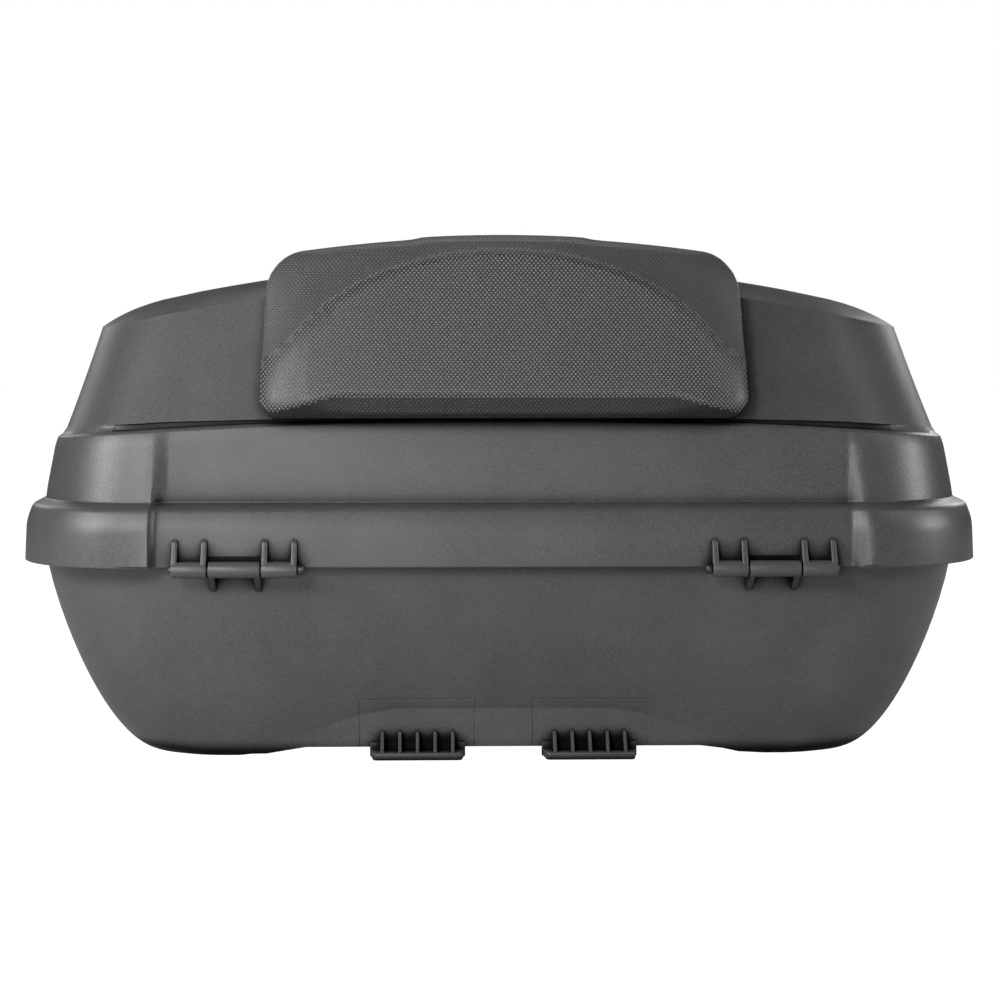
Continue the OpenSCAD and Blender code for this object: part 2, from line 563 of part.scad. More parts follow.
module lock_body() color([0.62, 0.62, 0.64]) difference() {
    union() {
        on_lock(cam_y + sheet_t + 0.3) cylinder(r = lock_r, h = hood_face - cam_y - sheet_t - 0.2);
        on_lock(hood_face) rotate_extrude()
            polygon([[0, 0], [bezel_r, 0], [bezel_r, bezel_t - 1.2], [bezel_r - 1.2, bezel_t], [0, bezel_t]]);
    }
    on_lock(cam_y) cylinder(r = barrel_r + pin_clear, h = 60);
}
module lock_nut() color([0.62, 0.62, 0.64]) on_lock(hood_face - wall - 4) difference() {
    cylinder(r = 13.6, h = 4, $fn = 6);
    translate([0, 0, -1]) cylinder(r = lock_r + pin_clear, h = 6);
}
module lock_barrel() color([0.75, 0.75, 0.77]) difference() {
    union() {
        on_lock(cam_y + sheet_t + 0.05)
            cylinder(r = barrel_r, h = hood_face + bezel_t - 0.65 - cam_y - sheet_t);
        on_lock(cam_y - 0.2) cylinder(r = 2.6, h = 4);
    }
    translate([-0.9, hood_face + bezel_t - 6, lock_z - 3.6]) cube([1.8, 8, 7.2]);
    on_lock(cam_y - 1) cylinder(r = 1.5 + pin_clear, h = 8);
}
module lock_cam() color([0.6, 0.6, 0.62]) on_lock(cam_y) difference() {
    union() {
        cylinder(r = cam_w + 1.4, h = sheet_t);
        translate([-cam_w, 0, 0]) cube([2 * cam_w, cam_l - cam_w, sheet_t]);
        translate([0, cam_l - cam_w, 0]) cylinder(r = cam_w, h = sheet_t);
    }
    translate([0, 0, -1]) cylinder(r = 2.6 + pin_clear, h = 6);
}
module cam_screw() color([0.6, 0.6, 0.62]) on_lock(cam_y - 2.2) difference() {
    union() {
        cylinder(r = 4, h = 1.95);
        cylinder(r = 1.5, h = 8);
    }
    translate([-3, -0.4, -1]) cube([6, 0.8, 1.9]);
}

// The keeper: an angle under the rim, beside the lock, that the turned cam lies under
keeper_x0 = cam_w + 3.2;
keeper_x1 = keeper_x0 + 22;
module at_keeper_screws() {
    for (x = [keeper_x0 + 5, keeper_x1 - 5])
        translate([x, keeper_y, keeper_z - 11]) rotate([90, 0, 0]) children();
}
module lock_keeper() color([0.62, 0.62, 0.64]) difference() {
    union() {
        translate([keeper_x0, keeper_y, keeper_z - 17]) cube([keeper_x1 - keeper_x0, sheet_t, 17]);
        translate([keeper_x0, keeper_y, keeper_z - sheet_t])
            cube([cam_l - keeper_x0 + 3, cam_y + sheet_t - keeper_y, sheet_t]);
    }
    at_keeper_screws() cylinder(r = 1.75 + pin_clear, h = 6 * wall, center = true);
}
module keeper_screws() color([0.6, 0.6, 0.62]) at_keeper_screws() {
    translate([0, 0, -sheet_t]) cylinder(r = 1.75, h = sheet_t + wall + 3);
    translate([0, 0, -sheet_t - 1.8]) cylinder(r = 3.3, h = 1.8);
}

// The plate release: a housing on the floor, a sliding hook through the floor and a button at the back
floor_z = plinth_z + wall;
box_back = tub_b - rear_share * tub_inset(1) - wall - box_y - 2;
slider_z = floor_z + 7;
catch_x = 10;
hook_l = 8;
hook_y = box_back + 26;
tail_y = box_back + box_y - 2;
// Lock-side face of the tub's middle at a height
function tub_back(z) = tub_b - rear_share * tub_inset((tub_top - z) / (tub_top - plinth_z));
module at_housing_screws() {
    for (s = [-1, 1], y = [box_back + 6, box_back + box_y - 6])
        translate([s * (box_x + 6), y, floor_z - wall]) children();
}
module release_housing() color([0.12, 0.12, 0.12]) difference() {
    union() {
        translate([-box_x, box_back, floor_z]) cube([2 * box_x, box_y, box_z]);
        translate([-box_x - 12, box_back, floor_z]) cube([2 * box_x + 24, box_y, box_wall]);
    }
    translate([box_wall - box_x, box_back + box_wall, floor_z - 1])
        cube([2 * (box_x - box_wall), box_y - 2 * box_wall, box_z + 1 - box_wall]);
    translate([-button_x - slide_gap, box_back + box_y - 2 * box_wall, slider_z - slide_gap])
        cube([2 * (button_x + slide_gap), 4 * box_wall, button_z + 2 * slide_gap]);
    at_housing_screws() cylinder(r = 2 + pin_clear, h = 40);
}
module housing_screws() color([0.6, 0.6, 0.62]) at_housing_screws() {
    cylinder(r = 2, h = wall + box_wall);
    translate([0, 0, wall + box_wall]) rotate_extrude()
        polygon([[0, 0], [3.8, 0], [3.8, 1.2], [2.6, 2.4], [0, 2.4]]);
}
module plate_catch() color([0.62, 0.62, 0.64]) {
    translate([-catch_x, hook_y, slider_z]) cube([2 * catch_x, tail_y - 8 - hook_y, button_z]);
    translate([-catch_x, hook_y, 1.6]) cube([2 * catch_x, hook_l, slider_z + 2]);
    translate([-catch_x, hook_y + 1, 1.6]) rotate([90, 0, 90])
        linear_extrude(2 * catch_x) polygon([[0, 0], [hook_l + 2, 0], [hook_l + 4.5, 3.4], [0, 3.4]]);
    translate([0, hook_y, slider_z + button_z / 2]) rotate([90, 0, 0])
        cylinder(r = spring_r - wire_r - 0.4, h = 5);
}
module release_button() color([0.6, 0.06, 0.06]) along_x(-button_x, button_x)
    polygon([[tail_y - 8, slider_z], [tub_back(slider_z) + press + 2, slider_z],
        [tub_back(slider_z + 2) + press + 3, slider_z + 2],
        [tub_back(slider_z + button_z - 2) + press + 3, slider_z + button_z - 2],
        [tub_back(slider_z + button_z) + press + 1, slider_z + button_z], [tail_y - 8, slider_z + button_z]]);

// The return spring between the housing's inner wall and the hook
coils = 5;
coil_rings = 8;
coil_sides = 6;
spring_y0 = box_back + box_wall + wire_r + 0.1;
spring_y1 = hook_y - wire_r - 0.1;
function coil(t) = let (a = 360 * coils * t)
    [spring_r * cos(a), lerp(spring_y0, spring_y1, t), slider_z + button_z / 2 + spring_r * sin(a)];
spring_n = coils * coil_rings;
spring_rings = [for (k = [0 : spring_n]) let (t = k / spring_n, c = coil(t), a = 360 * coils * t)
    [for (i = [0 : coil_sides - 1]) let (b = 360 * i / coil_sides)
        c + wire_r * [cos(b) * cos(a), sin(b), cos(b) * sin(a)]]];

module release_spring() color([0.6, 0.6, 0.62]) skin(spring_rings, coil(0), coil(1));

base_shell();
rim_seal();
hinge_pin_left();
hinge_pin_right();
lid_shell();
backrest_pad();
backrest_plate();
backrest_screws();
backrest_washers();
reflector_left();
reflector_right();
lock_body();
lock_nut();
lock_barrel();
lock_cam();
cam_screw();
lock_keeper();
keeper_screws();
release_housing();
housing_screws();
plate_catch();
release_button();
release_spring();
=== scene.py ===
"""Looks of a motorcycle top case with a passenger backrest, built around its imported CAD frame.

Shape values are in millimetres and follow the part's own sections; meshes are in metres.
"""

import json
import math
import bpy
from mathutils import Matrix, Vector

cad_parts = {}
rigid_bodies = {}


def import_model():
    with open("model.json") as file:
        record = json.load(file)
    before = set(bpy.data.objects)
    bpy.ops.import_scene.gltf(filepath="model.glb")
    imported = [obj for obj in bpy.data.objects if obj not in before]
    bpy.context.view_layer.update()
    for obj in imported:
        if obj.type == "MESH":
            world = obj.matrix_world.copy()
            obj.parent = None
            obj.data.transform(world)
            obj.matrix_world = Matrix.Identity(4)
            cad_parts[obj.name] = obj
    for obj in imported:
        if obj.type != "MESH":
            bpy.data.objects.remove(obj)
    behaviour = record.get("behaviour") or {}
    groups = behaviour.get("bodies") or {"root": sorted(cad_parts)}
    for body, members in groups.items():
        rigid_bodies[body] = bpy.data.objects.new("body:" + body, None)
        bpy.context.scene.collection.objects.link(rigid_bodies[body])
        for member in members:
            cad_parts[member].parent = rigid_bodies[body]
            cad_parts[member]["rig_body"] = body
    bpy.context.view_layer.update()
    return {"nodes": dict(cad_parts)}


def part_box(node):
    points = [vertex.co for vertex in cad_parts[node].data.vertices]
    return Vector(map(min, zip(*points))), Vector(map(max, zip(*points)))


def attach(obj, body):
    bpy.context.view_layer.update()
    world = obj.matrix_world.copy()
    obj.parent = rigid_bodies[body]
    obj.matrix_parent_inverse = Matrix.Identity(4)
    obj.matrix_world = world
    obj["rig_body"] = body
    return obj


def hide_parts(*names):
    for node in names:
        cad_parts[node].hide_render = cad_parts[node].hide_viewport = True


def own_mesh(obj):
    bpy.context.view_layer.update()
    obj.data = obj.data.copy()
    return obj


bl_info = {
    "name": "Top Case",
    "version": (1, 0, 0),
    "blender": (4, 5, 0),
    "location": "View3D > Sidebar > Top Case",
    "description": "Builds a hinged motorcycle top case with a padded backrest",
    "category": "Object",
}

import bmesh
import bpy
from mathutils import Matrix, Vector
from mathutils.bvhtree import BVHTree

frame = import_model()
MM = 0.001

# Case: plan reaches, corner radii and wall
HALF_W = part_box("lid_shell")[1].x / MM
FRONT, REAR = 222.0, 212.0
CORNER_R, REAR_CORNER_R = 82.0, 92.0
# How much of an inset comes off the lid's hinge-side corners, and off all others
CORNER_CUT, OTHER_CUT = 0.9, 0.65
SIDE_BOW, WALL = 2.0, 3.0
# Hinge recess: depth, its ramps' widths (right, left, left on the band), the right one's reach
# outwards, the share of depth lost on the band, and how far the tub's recess passes the lid's
RECESS, RAMP_RIGHT, RAMP_LEFT, RAMP = 6.0, 8.0, 4.8, 10.5
RAMP_OUT, BAND_LOSS, RIM_PAST = 4.0, 0.4, 1.5
# Lid: heights of its edges, then inward steps from the skirt
SKIRT_Z, STEP_Z, BAND_Z = 116.0, 153.2, 202.8
CROWN_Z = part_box("lid_shell")[1].z / MM
RIM_Z, SHELF_Z = 143.0, 149.0
SKIRT_DRAFT, BAND_I, LIP_I = 3.0, 13.4, 19.6
BAND_FOOT, BAND_FALL = STEP_Z + 8.6, 13.0
CROWN_FALL_X, CROWN_FALL_Y = 44.0, 10.6
FOOT_I, FOOT_FRONT_I = LIP_I + 6.4, LIP_I + 5.4
DOME_SIDE, DOME_FRONT, DOME_REAR = 18.5, 29.5, 53.0
DOME_R, DOME_REAR_R = 58.0, 70.0
EDGE_W, EDGE_H = 55.0, 8.0
# Shadow gap under the dome: depth, where it runs out and over what length, and how far out its
# faces are painted dark as shade;
# then the height of the dome's foot over the band, at the middle and added by an X
GAP, GAP_END, GAP_RUN, GAP_SHADE_X = 1.6, 240.0, 26.0, 232.0
FOOT_RISE, FOOT_RISE_MORE, FOOT_RISE_X = 1.0, 3.2, 200.0
# Tub: rim, taper and plinth
RIM_I = 7.7
TUB_I, TUB_TOP = RIM_I + 3.8, SKIRT_Z - 2
TUB_F, TUB_B = FRONT - RIM_I - 2.8 - RECESS, REAR - RIM_I - 3.8
TUB_TAPER, TUB_ROUND, TUB_FULL = 24.7, 44.0, 1.63
FRONT_SHARE, REAR_SHARE = 0.375, 0.88
TUB_CORNER_R, TUB_REAR_R = (80.0, 44.0), (88.0, 66.0)
PLINTH_X, PLINTH_Z, PLINTH_EASE, CREASE_V = 138.0, 5.5, 12.0, 0.905
ARCH_H, ARCH_OUT, ARCH_RUN = 20.0, 4.0, 78.0
GROOVE_A, GROOVE_B, GROOVE_D = RIM_I + 2, RIM_I + 6.2, 4.0
# Hinges
HINGE_X, AXIS_Y, AXIS_Z = 158.0, -221.3, 115.6
KNUCKLE_R, TUB_KNUCKLE, LID_KNUCKLE, KNUCKLE_GAP = 4.8, 30.0, 20.5, 1.0
PIN_R, PIN_CLEAR, RIB_T, RIB_H, TUB_RIB_H = 2.0, 0.05, 3.4, 17.2, 14.4
ROLL_EDGE, WEB_IN = 0.5, 0.3
PANEL_Y = FRONT - RECESS
LID_FROM = TUB_KNUCKLE / 2 + KNUCKLE_GAP
LID_TO = LID_FROM + LID_KNUCKLE
# Plate tongues
TONGUE_X, TONGUE_W, TONGUE_L, TONGUE_T = 51.5, 53.0, 16.0, 4.3
GUSSETS, GUSSET_T, GUSSET_H = 5, 2.0, 15.3
# Lock hood
HOOD_X, HOOD_FACE, LOCK_Z, LOCK_R = 32.0, REAR + 10.6, 128.0, 9.5
# Plate release: travel, then the hook's nose and stem
RELEASE_TRAVEL, HOOK_NOSE, HOOK_STEM = 8.0, 5.0, 8.0
# Backrest pad
PAD_HW, PAD_H, PAD_T, PAD_SWELL, PAD_ARCH = 144.0, 108.5, 26.0, 8.0, 9.3
PAD_Z = BAND_Z + 0.5
PAD_MID = PAD_Z + 0.45 * PAD_H
PAD_TOP_R, PAD_FOOT_R, PAD_IN = 26.0, 14.0, 3.0
PANEL_X, PANEL_FOOT, PANEL_H = 134.0, 5.0, 90.7
# Flare of the front panel's foot, and the undercut under it: sizes, then where they change in X
FLARE, FLARE_H, FLARE_RUN = 16.0, 50.0, 32.0
BEVEL_IN, BEVEL_H, BEVEL_END_H, BEVEL_X, BEVEL_RUN = 10.5, 16.0, 5.0, 90.0, 48.0
CREST_X, CREST_RISE, PANEL_FADE = 56.0, 1.3, 0.3
# Shares of the pad's thickness at its edge and border, and the fall towards its ends
PAD_EDGE, PAD_BORDER, PAD_FALL = 0.3, 0.72, 4.0
# Share of the front that turns over at its edge: in the middle, more at the ends, and where
TURN, TURN_MORE, TURN_X, TURN_RUN = 0.08, 0.17, 80.0, 55.0
# Dots, as shares of their pitch: row step and radii; then how far they sink into the skin
DOT_ROW, DOT_FOOT_R, DOT_TOP_R, DOT_SUNK = 0.577, 0.37, 0.2, 0.12
PLATE_W = 3.5
SCREW_X, SCREW_V, SCREW_V0 = 85.0, 46.0, 20.0

# Steps round one plan outline
N_RAMP, N_PANEL, N_CORNER, N_SIDE = 8, 16, 22, 8
N_FRONT = 2 * N_RAMP + N_PANEL
N_RING = 2 * N_FRONT + 4 * N_CORNER + 2 * N_SIDE
N_RIGHT = N_FRONT + N_CORNER + N_SIDE // 2


def lerp(a, b, t):
    return a + (b - a) * t


def clamp(t):
    return min(1.0, max(0.0, t))


def smooth(t):
    c = clamp(t)
    return c * c * (3 - 2 * c)


# ------------------------------------------------------------------ plan outlines and rings

RAMP_SHARE = RAMP / (HALF_W - SIDE_BOW - CORNER_R)
FRONT_U = (
    [-1 + RAMP_SHARE * i / N_RAMP for i in range(N_RAMP)]
    + [(1 - RAMP_SHARE) * (2 * i / N_PANEL - 1) for i in range(N_PANEL)]
    + [1 - RAMP_SHARE + RAMP_SHARE * i / N_RAMP for i in range(N_RAMP)]
)


def arc(cx, cy, r, start, steps, turn=90.0):
    angles = [math.radians(start + turn * i / steps) for i in range(steps)]
    return [(cx + r * math.cos(a), cy + r * math.sin(a)) for a in angles]


def plan(half, f, b, r, rr):
    """A plan outline: half width, hinge-side and lock-side reach, and their corners' radii."""
    hw = half - SIDE_BOW
    bow = [SIDE_BOW * 4 * i / N_SIDE * (1 - i / N_SIDE) for i in range(N_SIDE)]
    return (
        [(u * (hw - r), -f) for u in FRONT_U]
        + arc(hw - r, r - f, r, -90, N_CORNER)
        + [(hw + bow[i], lerp(r - f, b - rr, i / N_SIDE)) for i in range(N_SIDE)]
        + arc(hw - rr, b - rr, rr, 0, N_CORNER)
        + [(-u * (hw - rr), b) for u in FRONT_U]
        + arc(rr - hw, b - rr, rr, 90, N_CORNER)
        + [(-hw - bow[i], lerp(b - rr, r - f, i / N_SIDE)) for i in range(N_SIDE)]
        + arc(r - hw, r - f, r, 180, N_CORNER)
    )


def dip(x, y, half, r, soft=0.0):
    """How far the hinge recess pushes a point of the hinge side back; soft makes it shallower."""
    if y > 0:
        return 0.0
    out, wide = (RAMP_OUT, RAMP_RIGHT) if x > 0 else (0.0, lerp(RAMP_LEFT, RAMP, soft))
    s = clamp((abs(x) - (half - SIDE_BOW - r + out - wide)) / wide)
    ramp = lerp(s * s, smooth(s), 1.0 if x > 0 else soft)
    return RECESS * (1 - BAND_LOSS * soft) * (1 - ramp)


def band_top(x):
    return BAND_Z - BAND_FALL * (x / HALF_W) ** 2


def crown(x, y):
    return CROWN_Z - CROWN_FALL_X * (x / HALF_W) ** 2 - CROWN_FALL_Y * (y / FRONT) ** 2


def foot_rise(x):
    return FOOT_RISE + FOOT_RISE_MORE * min(1.0, (x / FOOT_RISE_X) ** 2)


def lid_ring(i, z):
    """A ring of skirt and band: the band's top edge arches, and the recess runs out towards it."""
    half, r = HALF_W - i, CORNER_R - CORNER_CUT * i
    t = clamp((z - BAND_FOOT) / (BAND_Z - BAND_FOOT))
    soft = smooth((z - STEP_Z + 1) / 8)
    return [
        (x, y + (1 - 0.8 * t) * dip(x, y, half, r, soft), z + t * (band_top(x) - BAND_Z))
        for x, y in plan(half, FRONT - i, REAR - i, r, REAR_CORNER_R - OTHER_CUT * i)
    ]


def rim_ring(i, z):
    """A ring of the tub's rim, whose recess reaches a little past the lid's."""
    cut = OTHER_CUT * i
    points = plan(HALF_W - i, FRONT - i, REAR - i, CORNER_R - cut, REAR_CORNER_R - cut)
    return [(x, y + dip(x, y, HALF_W + RIM_PAST, CORNER_R), z) for x, y in points]


def dome_ring(d, t, drop, w=0.0, low=0.0):
    """A ring of the dome: step inward from its foot, share of its height, drop under the crown."""
    s, d = max(0.0, d - 1), min(1.0, d)
    points = plan(
        HALF_W - FOOT_I - w - DOME_SIDE * d - s,
        FRONT - FOOT_FRONT_I - w - DOME_FRONT * d - s,
        REAR - FOOT_I - w - DOME_REAR * d - s,
        DOME_R - w,
        DOME_REAR_R - w,
    )
    return [
        (x, y, lerp(band_top(x) + foot_rise(x) - low, crown(x, y) - drop, t)) for x, y in points
    ]


def edge_drop(s):
    return EDGE_H * (1 - s / EDGE_W) ** 3.4


def shrink(ring, f, low):
    return [(x * f, y * f, crown(x * f, y * f) - low) for x, y, _ in ring]


def tub_inset(v):
    return TUB_TAPER * v + TUB_ROUND * (1 - math.sqrt(max(0.0, 1 - v**TUB_FULL)))


PLINTH_Y = TUB_F - FRONT_SHARE * tub_inset(CREASE_V)


def plinth_part(x):
    return smooth((PLINTH_X + PLINTH_EASE / 2 - abs(x)) / PLINTH_EASE)


def arch_z(x):
    return ARCH_H * smooth((PLINTH_X + ARCH_OUT - abs(x)) / ARCH_RUN)


def tub_ring(v, w=0.0):
    """A ring of the tub's wall, v down from the skirt; w is the depth under the outer face."""
    inset, up = tub_inset(v), w * v**3
    d = (v - CREASE_V) / (1 - CREASE_V)
    points = plan(
        HALF_W - TUB_I - inset - w,
        TUB_F - FRONT_SHARE * inset - w,
        TUB_B - REAR_SHARE * inset - w,
        lerp(*TUB_CORNER_R, v) - w,
        lerp(*TUB_REAR_R, v) - w,
    )
    ring = []
    for x, y in points:
        if y > 0:
            z = TUB_TOP - v * (TUB_TOP - PLINTH_Z * plinth_part(x))
        elif d > 0:
            k = plinth_part(x)
            crease = TUB_TOP - CREASE_V * (TUB_TOP - arch_z(x))
            z = lerp(TUB_TOP * (1 - v), lerp(crease, PLINTH_Z, d), k)
            y = lerp(y, w - PLINTH_Y + 2 * d, k)
        else:
            z = TUB_TOP - v * (TUB_TOP - arch_z(x))
        ring.append((x, y, up + z))
    return ring


def eased(corners, steps=5):
    """Rounds the corners of an open section line; each corner is (inset, height, cut)."""
    line = []
    for k, (x, y, cut) in enumerate(corners):
        here = Vector((x, y))
        if not cut:
            line.append(here)
            continue
        back = Vector(corners[k - 1][:2]) - here
        on = Vector(corners[k + 1][:2]) - here
        reach = min(cut, 0.48 * back.length, 0.48 * on.length)
        a, b = here + back.normalized() * reach, here + on.normalized() * reach
        for s in range(steps + 1):
            t = s / steps
            line.append((1 - t) ** 2 * a + 2 * t * (1 - t) * here + t * t * b)
    return line


# ------------------------------------------------------------------ mesh helpers


def once(items):
    """Each item once, in the order it came, which a set would not keep."""
    return list(dict.fromkeys(items))


def loft(rings):
    """Extrudes a loop from ring to ring; returns the bmesh and its first and last edge loops."""
    bm = bmesh.new()
    place = bm.verts.layers.int.new("place")
    verts = bmesh.ops.create_circle(bm, segments=len(rings[0]), radius=1)["verts"]
    for k, v in enumerate(verts):
        v[place] = k
        v.co = Vector(rings[0][k]) * MM
    first = edges = once(e for v in verts for e in v.link_edges)
    for ring in rings[1:]:
        grown = bmesh.ops.extrude_edge_only(bm, edges=edges)["geom"]
        fresh = {g for g in grown if isinstance(g, bmesh.types.BMVert)}
        for v in fresh:
            v.co = Vector(ring[v[place]]) * MM
        lines = [g for g in grown if isinstance(g, bmesh.types.BMEdge)]
        edges = [e for e in lines if e.verts[0] in fresh and e.verts[1] in fresh]
    return bm, first, edges


def close_pole(bm, edges):
    made = bmesh.ops.edgeloop_fill(bm, edges=edges)["faces"]
    bmesh.ops.poke(bm, faces=made)


def close_floor(bm, edges):
    """Closes a tub's floor with strips from the hinge side to the lock side."""
    place = bm.verts.layers.int["place"]
    by_place = {v[place]: v for e in edges for v in e.verts}
    half = N_RING // 2
    for k in range(half):
        a, c = (N_RIGHT - k) % N_RING, (N_RIGHT - k - 1) % N_RING
        b, d = (N_RIGHT + k) % N_RING, (N_RIGHT + k + 1) % N_RING
        corners = [by_place[n] for n in (a, b, d, c)]
        bmesh.ops.contextual_create(bm, geom=once(corners))


def prism(bm, outline, axis_map, depth):
    """A closed prism: an outline of 2-D points placed by axis_map, extruded by depth, all in mm."""
    verts = [bm.verts.new(Vector(axis_map(p)) * MM) for p in outline]
    face = bm.faces.new(verts)
    grown = bmesh.ops.extrude_face_region(bm, geom=[face])["geom"]
    moved = [g for g in grown if isinstance(g, bmesh.types.BMVert)]
    bmesh.ops.translate(bm, verts=moved, vec=Vector(depth) * MM)
    body = verts + moved
    bmesh.ops.recalc_face_normals(bm, faces=once(f for v in body for f in v.link_faces))
    return body


def bar(bm, start, along, length, r, r2=None, segments=48):
    """A closed round bar from a point along a direction, in mm."""
    turn = Vector(along).to_track_quat("Z", "Y").to_matrix().to_4x4()
    middle = (Vector(start) + Vector(along).normalized() * length / 2) * MM
    return bmesh.ops.create_cone(
        bm,
        cap_ends=True,
        segments=segments,
        radius1=r * MM,
        radius2=(r if r2 is None else r2) * MM,
        depth=length * MM,
        matrix=Matrix.Translation(middle) @ turn,
    )["verts"]


def box(bm, low, high):
    size = Vector(high) - Vector(low)
    place = Matrix.Translation((Vector(low) + size / 2) * MM) @ Matrix.Diagonal((*(size * MM), 1))
    return bmesh.ops.create_cube(bm, size=1, matrix=place)["verts"]


def round_edges(bm, verts, width, segments=3, angle=30.0):
    """Bevels the sharp edges among these vertices by a width in mm."""
    wanted = set(verts)
    sharp = [
        e
        for e in once(e for v in verts for e in v.link_edges)
        if e.verts[0] in wanted
        and e.verts[1] in wanted
        and e.is_manifold
        and e.calc_face_angle(0) > math.radians(angle)
    ]
    bmesh.ops.bevel(
        bm,
        geom=sharp,
        offset=width * MM,
        offset_type="OFFSET",
        segments=segments,
        profile=0.5,
        affect="EDGES",
        clamp_overlap=True,
        material=-1,
    )


def as_object(bm, name):
    mesh = bpy.data.meshes.new(name)
    bm.to_mesh(mesh)
    bm.free()
    piece = bpy.data.objects.new(name, mesh)
    bpy.context.scene.collection.objects.link(piece)
    return piece


def carve(piece, joins, cuts):
    """Joins closed tools to a piece, then cuts others out; each one's function fills a bmesh."""
    tools = []
    for operation, fill in [("UNION", f) for f in joins] + [("DIFFERENCE", f) for f in cuts]:
        bm = bmesh.new()
        fill(bm)
        tool = as_object(bm, "tool")
        tools.append(tool)
        cut = piece.modifiers.new("cut", "BOOLEAN")
        cut.operation, cut.solver, cut.object = operation, "EXACT", tool
    shaped = piece.evaluated_get(bpy.context.evaluated_depsgraph_get())
    mesh = bpy.data.meshes.new_from_object(shaped)
    piece.modifiers.clear()
    plain, piece.data = piece.data, mesh
    mesh.name = piece.name
    bpy.data.meshes.remove(plain)
    for tool in tools:
        mesh = tool.data
        bpy.data.objects.remove(tool)
        bpy.data.meshes.remove(mesh)


def finish_piece(piece, body, material, nodes=(), angle=32.0):
    piece.data.shade_smooth()
    piece.data.set_sharp_from_angle(angle=math.radians(angle))
    piece.data.materials.append(material)
    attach(piece, body)
    if nodes:
        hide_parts(*nodes)
    return piece


def eased_copy(node, material, width, segments=2, angle=32.0):
    """A copy of a CAD node with its sharp edges rounded, which stands for that node."""
    bm = bmesh.new()
    bm.from_mesh(frame["nodes"][node].data)
    bmesh.ops.remove_doubles(bm, verts=bm.verts[:], dist=0.002 * MM)
    bmesh.ops.dissolve_limit(
        bm, angle_limit=math.radians(1), verts=bm.verts[:], edges=bm.edges[:]
    )
    round_edges(bm, bm.verts[:], width, segments, 40.0)
    body = frame["nodes"][node]["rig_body"]
    return finish_piece(as_object(bm, node + "_eased"), body, material, [node], angle)


# ------------------------------------------------------------------ materials


def linear(text):
    """sRGB hex to linear RGBA."""
    parts = [int(text[k : k + 2], 16) / 255 for k in (1, 3, 5)]
    return (*(c / 12.92 if c <= 0.04045 else ((c + 0.055) / 1.055) ** 2.4 for c in parts), 1.0)


def add(tree, kind, values=None, links=None, **settings):
    """Adds one shader node with its settings, socket values and incoming links."""
    made = tree.nodes.new("ShaderNode" + kind)
    for name, value in settings.items():
        setattr(made, name, value)
    for name, value in (values or {}).items():
        made.inputs[name].default_value = value
    for name, socket in (links or {}).items():
        tree.links.new(socket, made.inputs[name])
    return made


def blank(name):
    material = bpy.data.materials.new(name)
    material.use_nodes = True
    tree = material.node_tree
    tree.nodes.clear()
    out = add(tree, "OutputMaterial")
    shader = add(tree, "BsdfPrincipled")
    tree.links.new(shader.outputs["BSDF"], out.inputs["Surface"])
    where = {"Vector": add(tree, "TexCoord").outputs["Object"]}
    return material, tree, shader, where


def per_metre(size_mm):
    """Texture scale that gives features of a size in millimetres."""
    return 1 / (size_mm * MM)


def dress(tree, shader, tones, cloud, rough, fine):
    """Colours a surface between two tones by one pattern, and roughens it by a finer one."""
    colour = add(
        tree, "Mix", {6: tones[0], 7: tones[1]}, {"Factor": cloud}, data_type="RGBA"
    ).outputs[2]
    spread = {"From Min": 0.3, "From Max": 0.7, "To Min": rough[0], "To Max": rough[1]}
    gloss = add(tree, "MapRange", spread, {"Value": fine}).outputs["Result"]
    tree.links.new(colour, shader.inputs["Base Color"])
    tree.links.new(gloss, shader.inputs["Roughness"])
    return colour


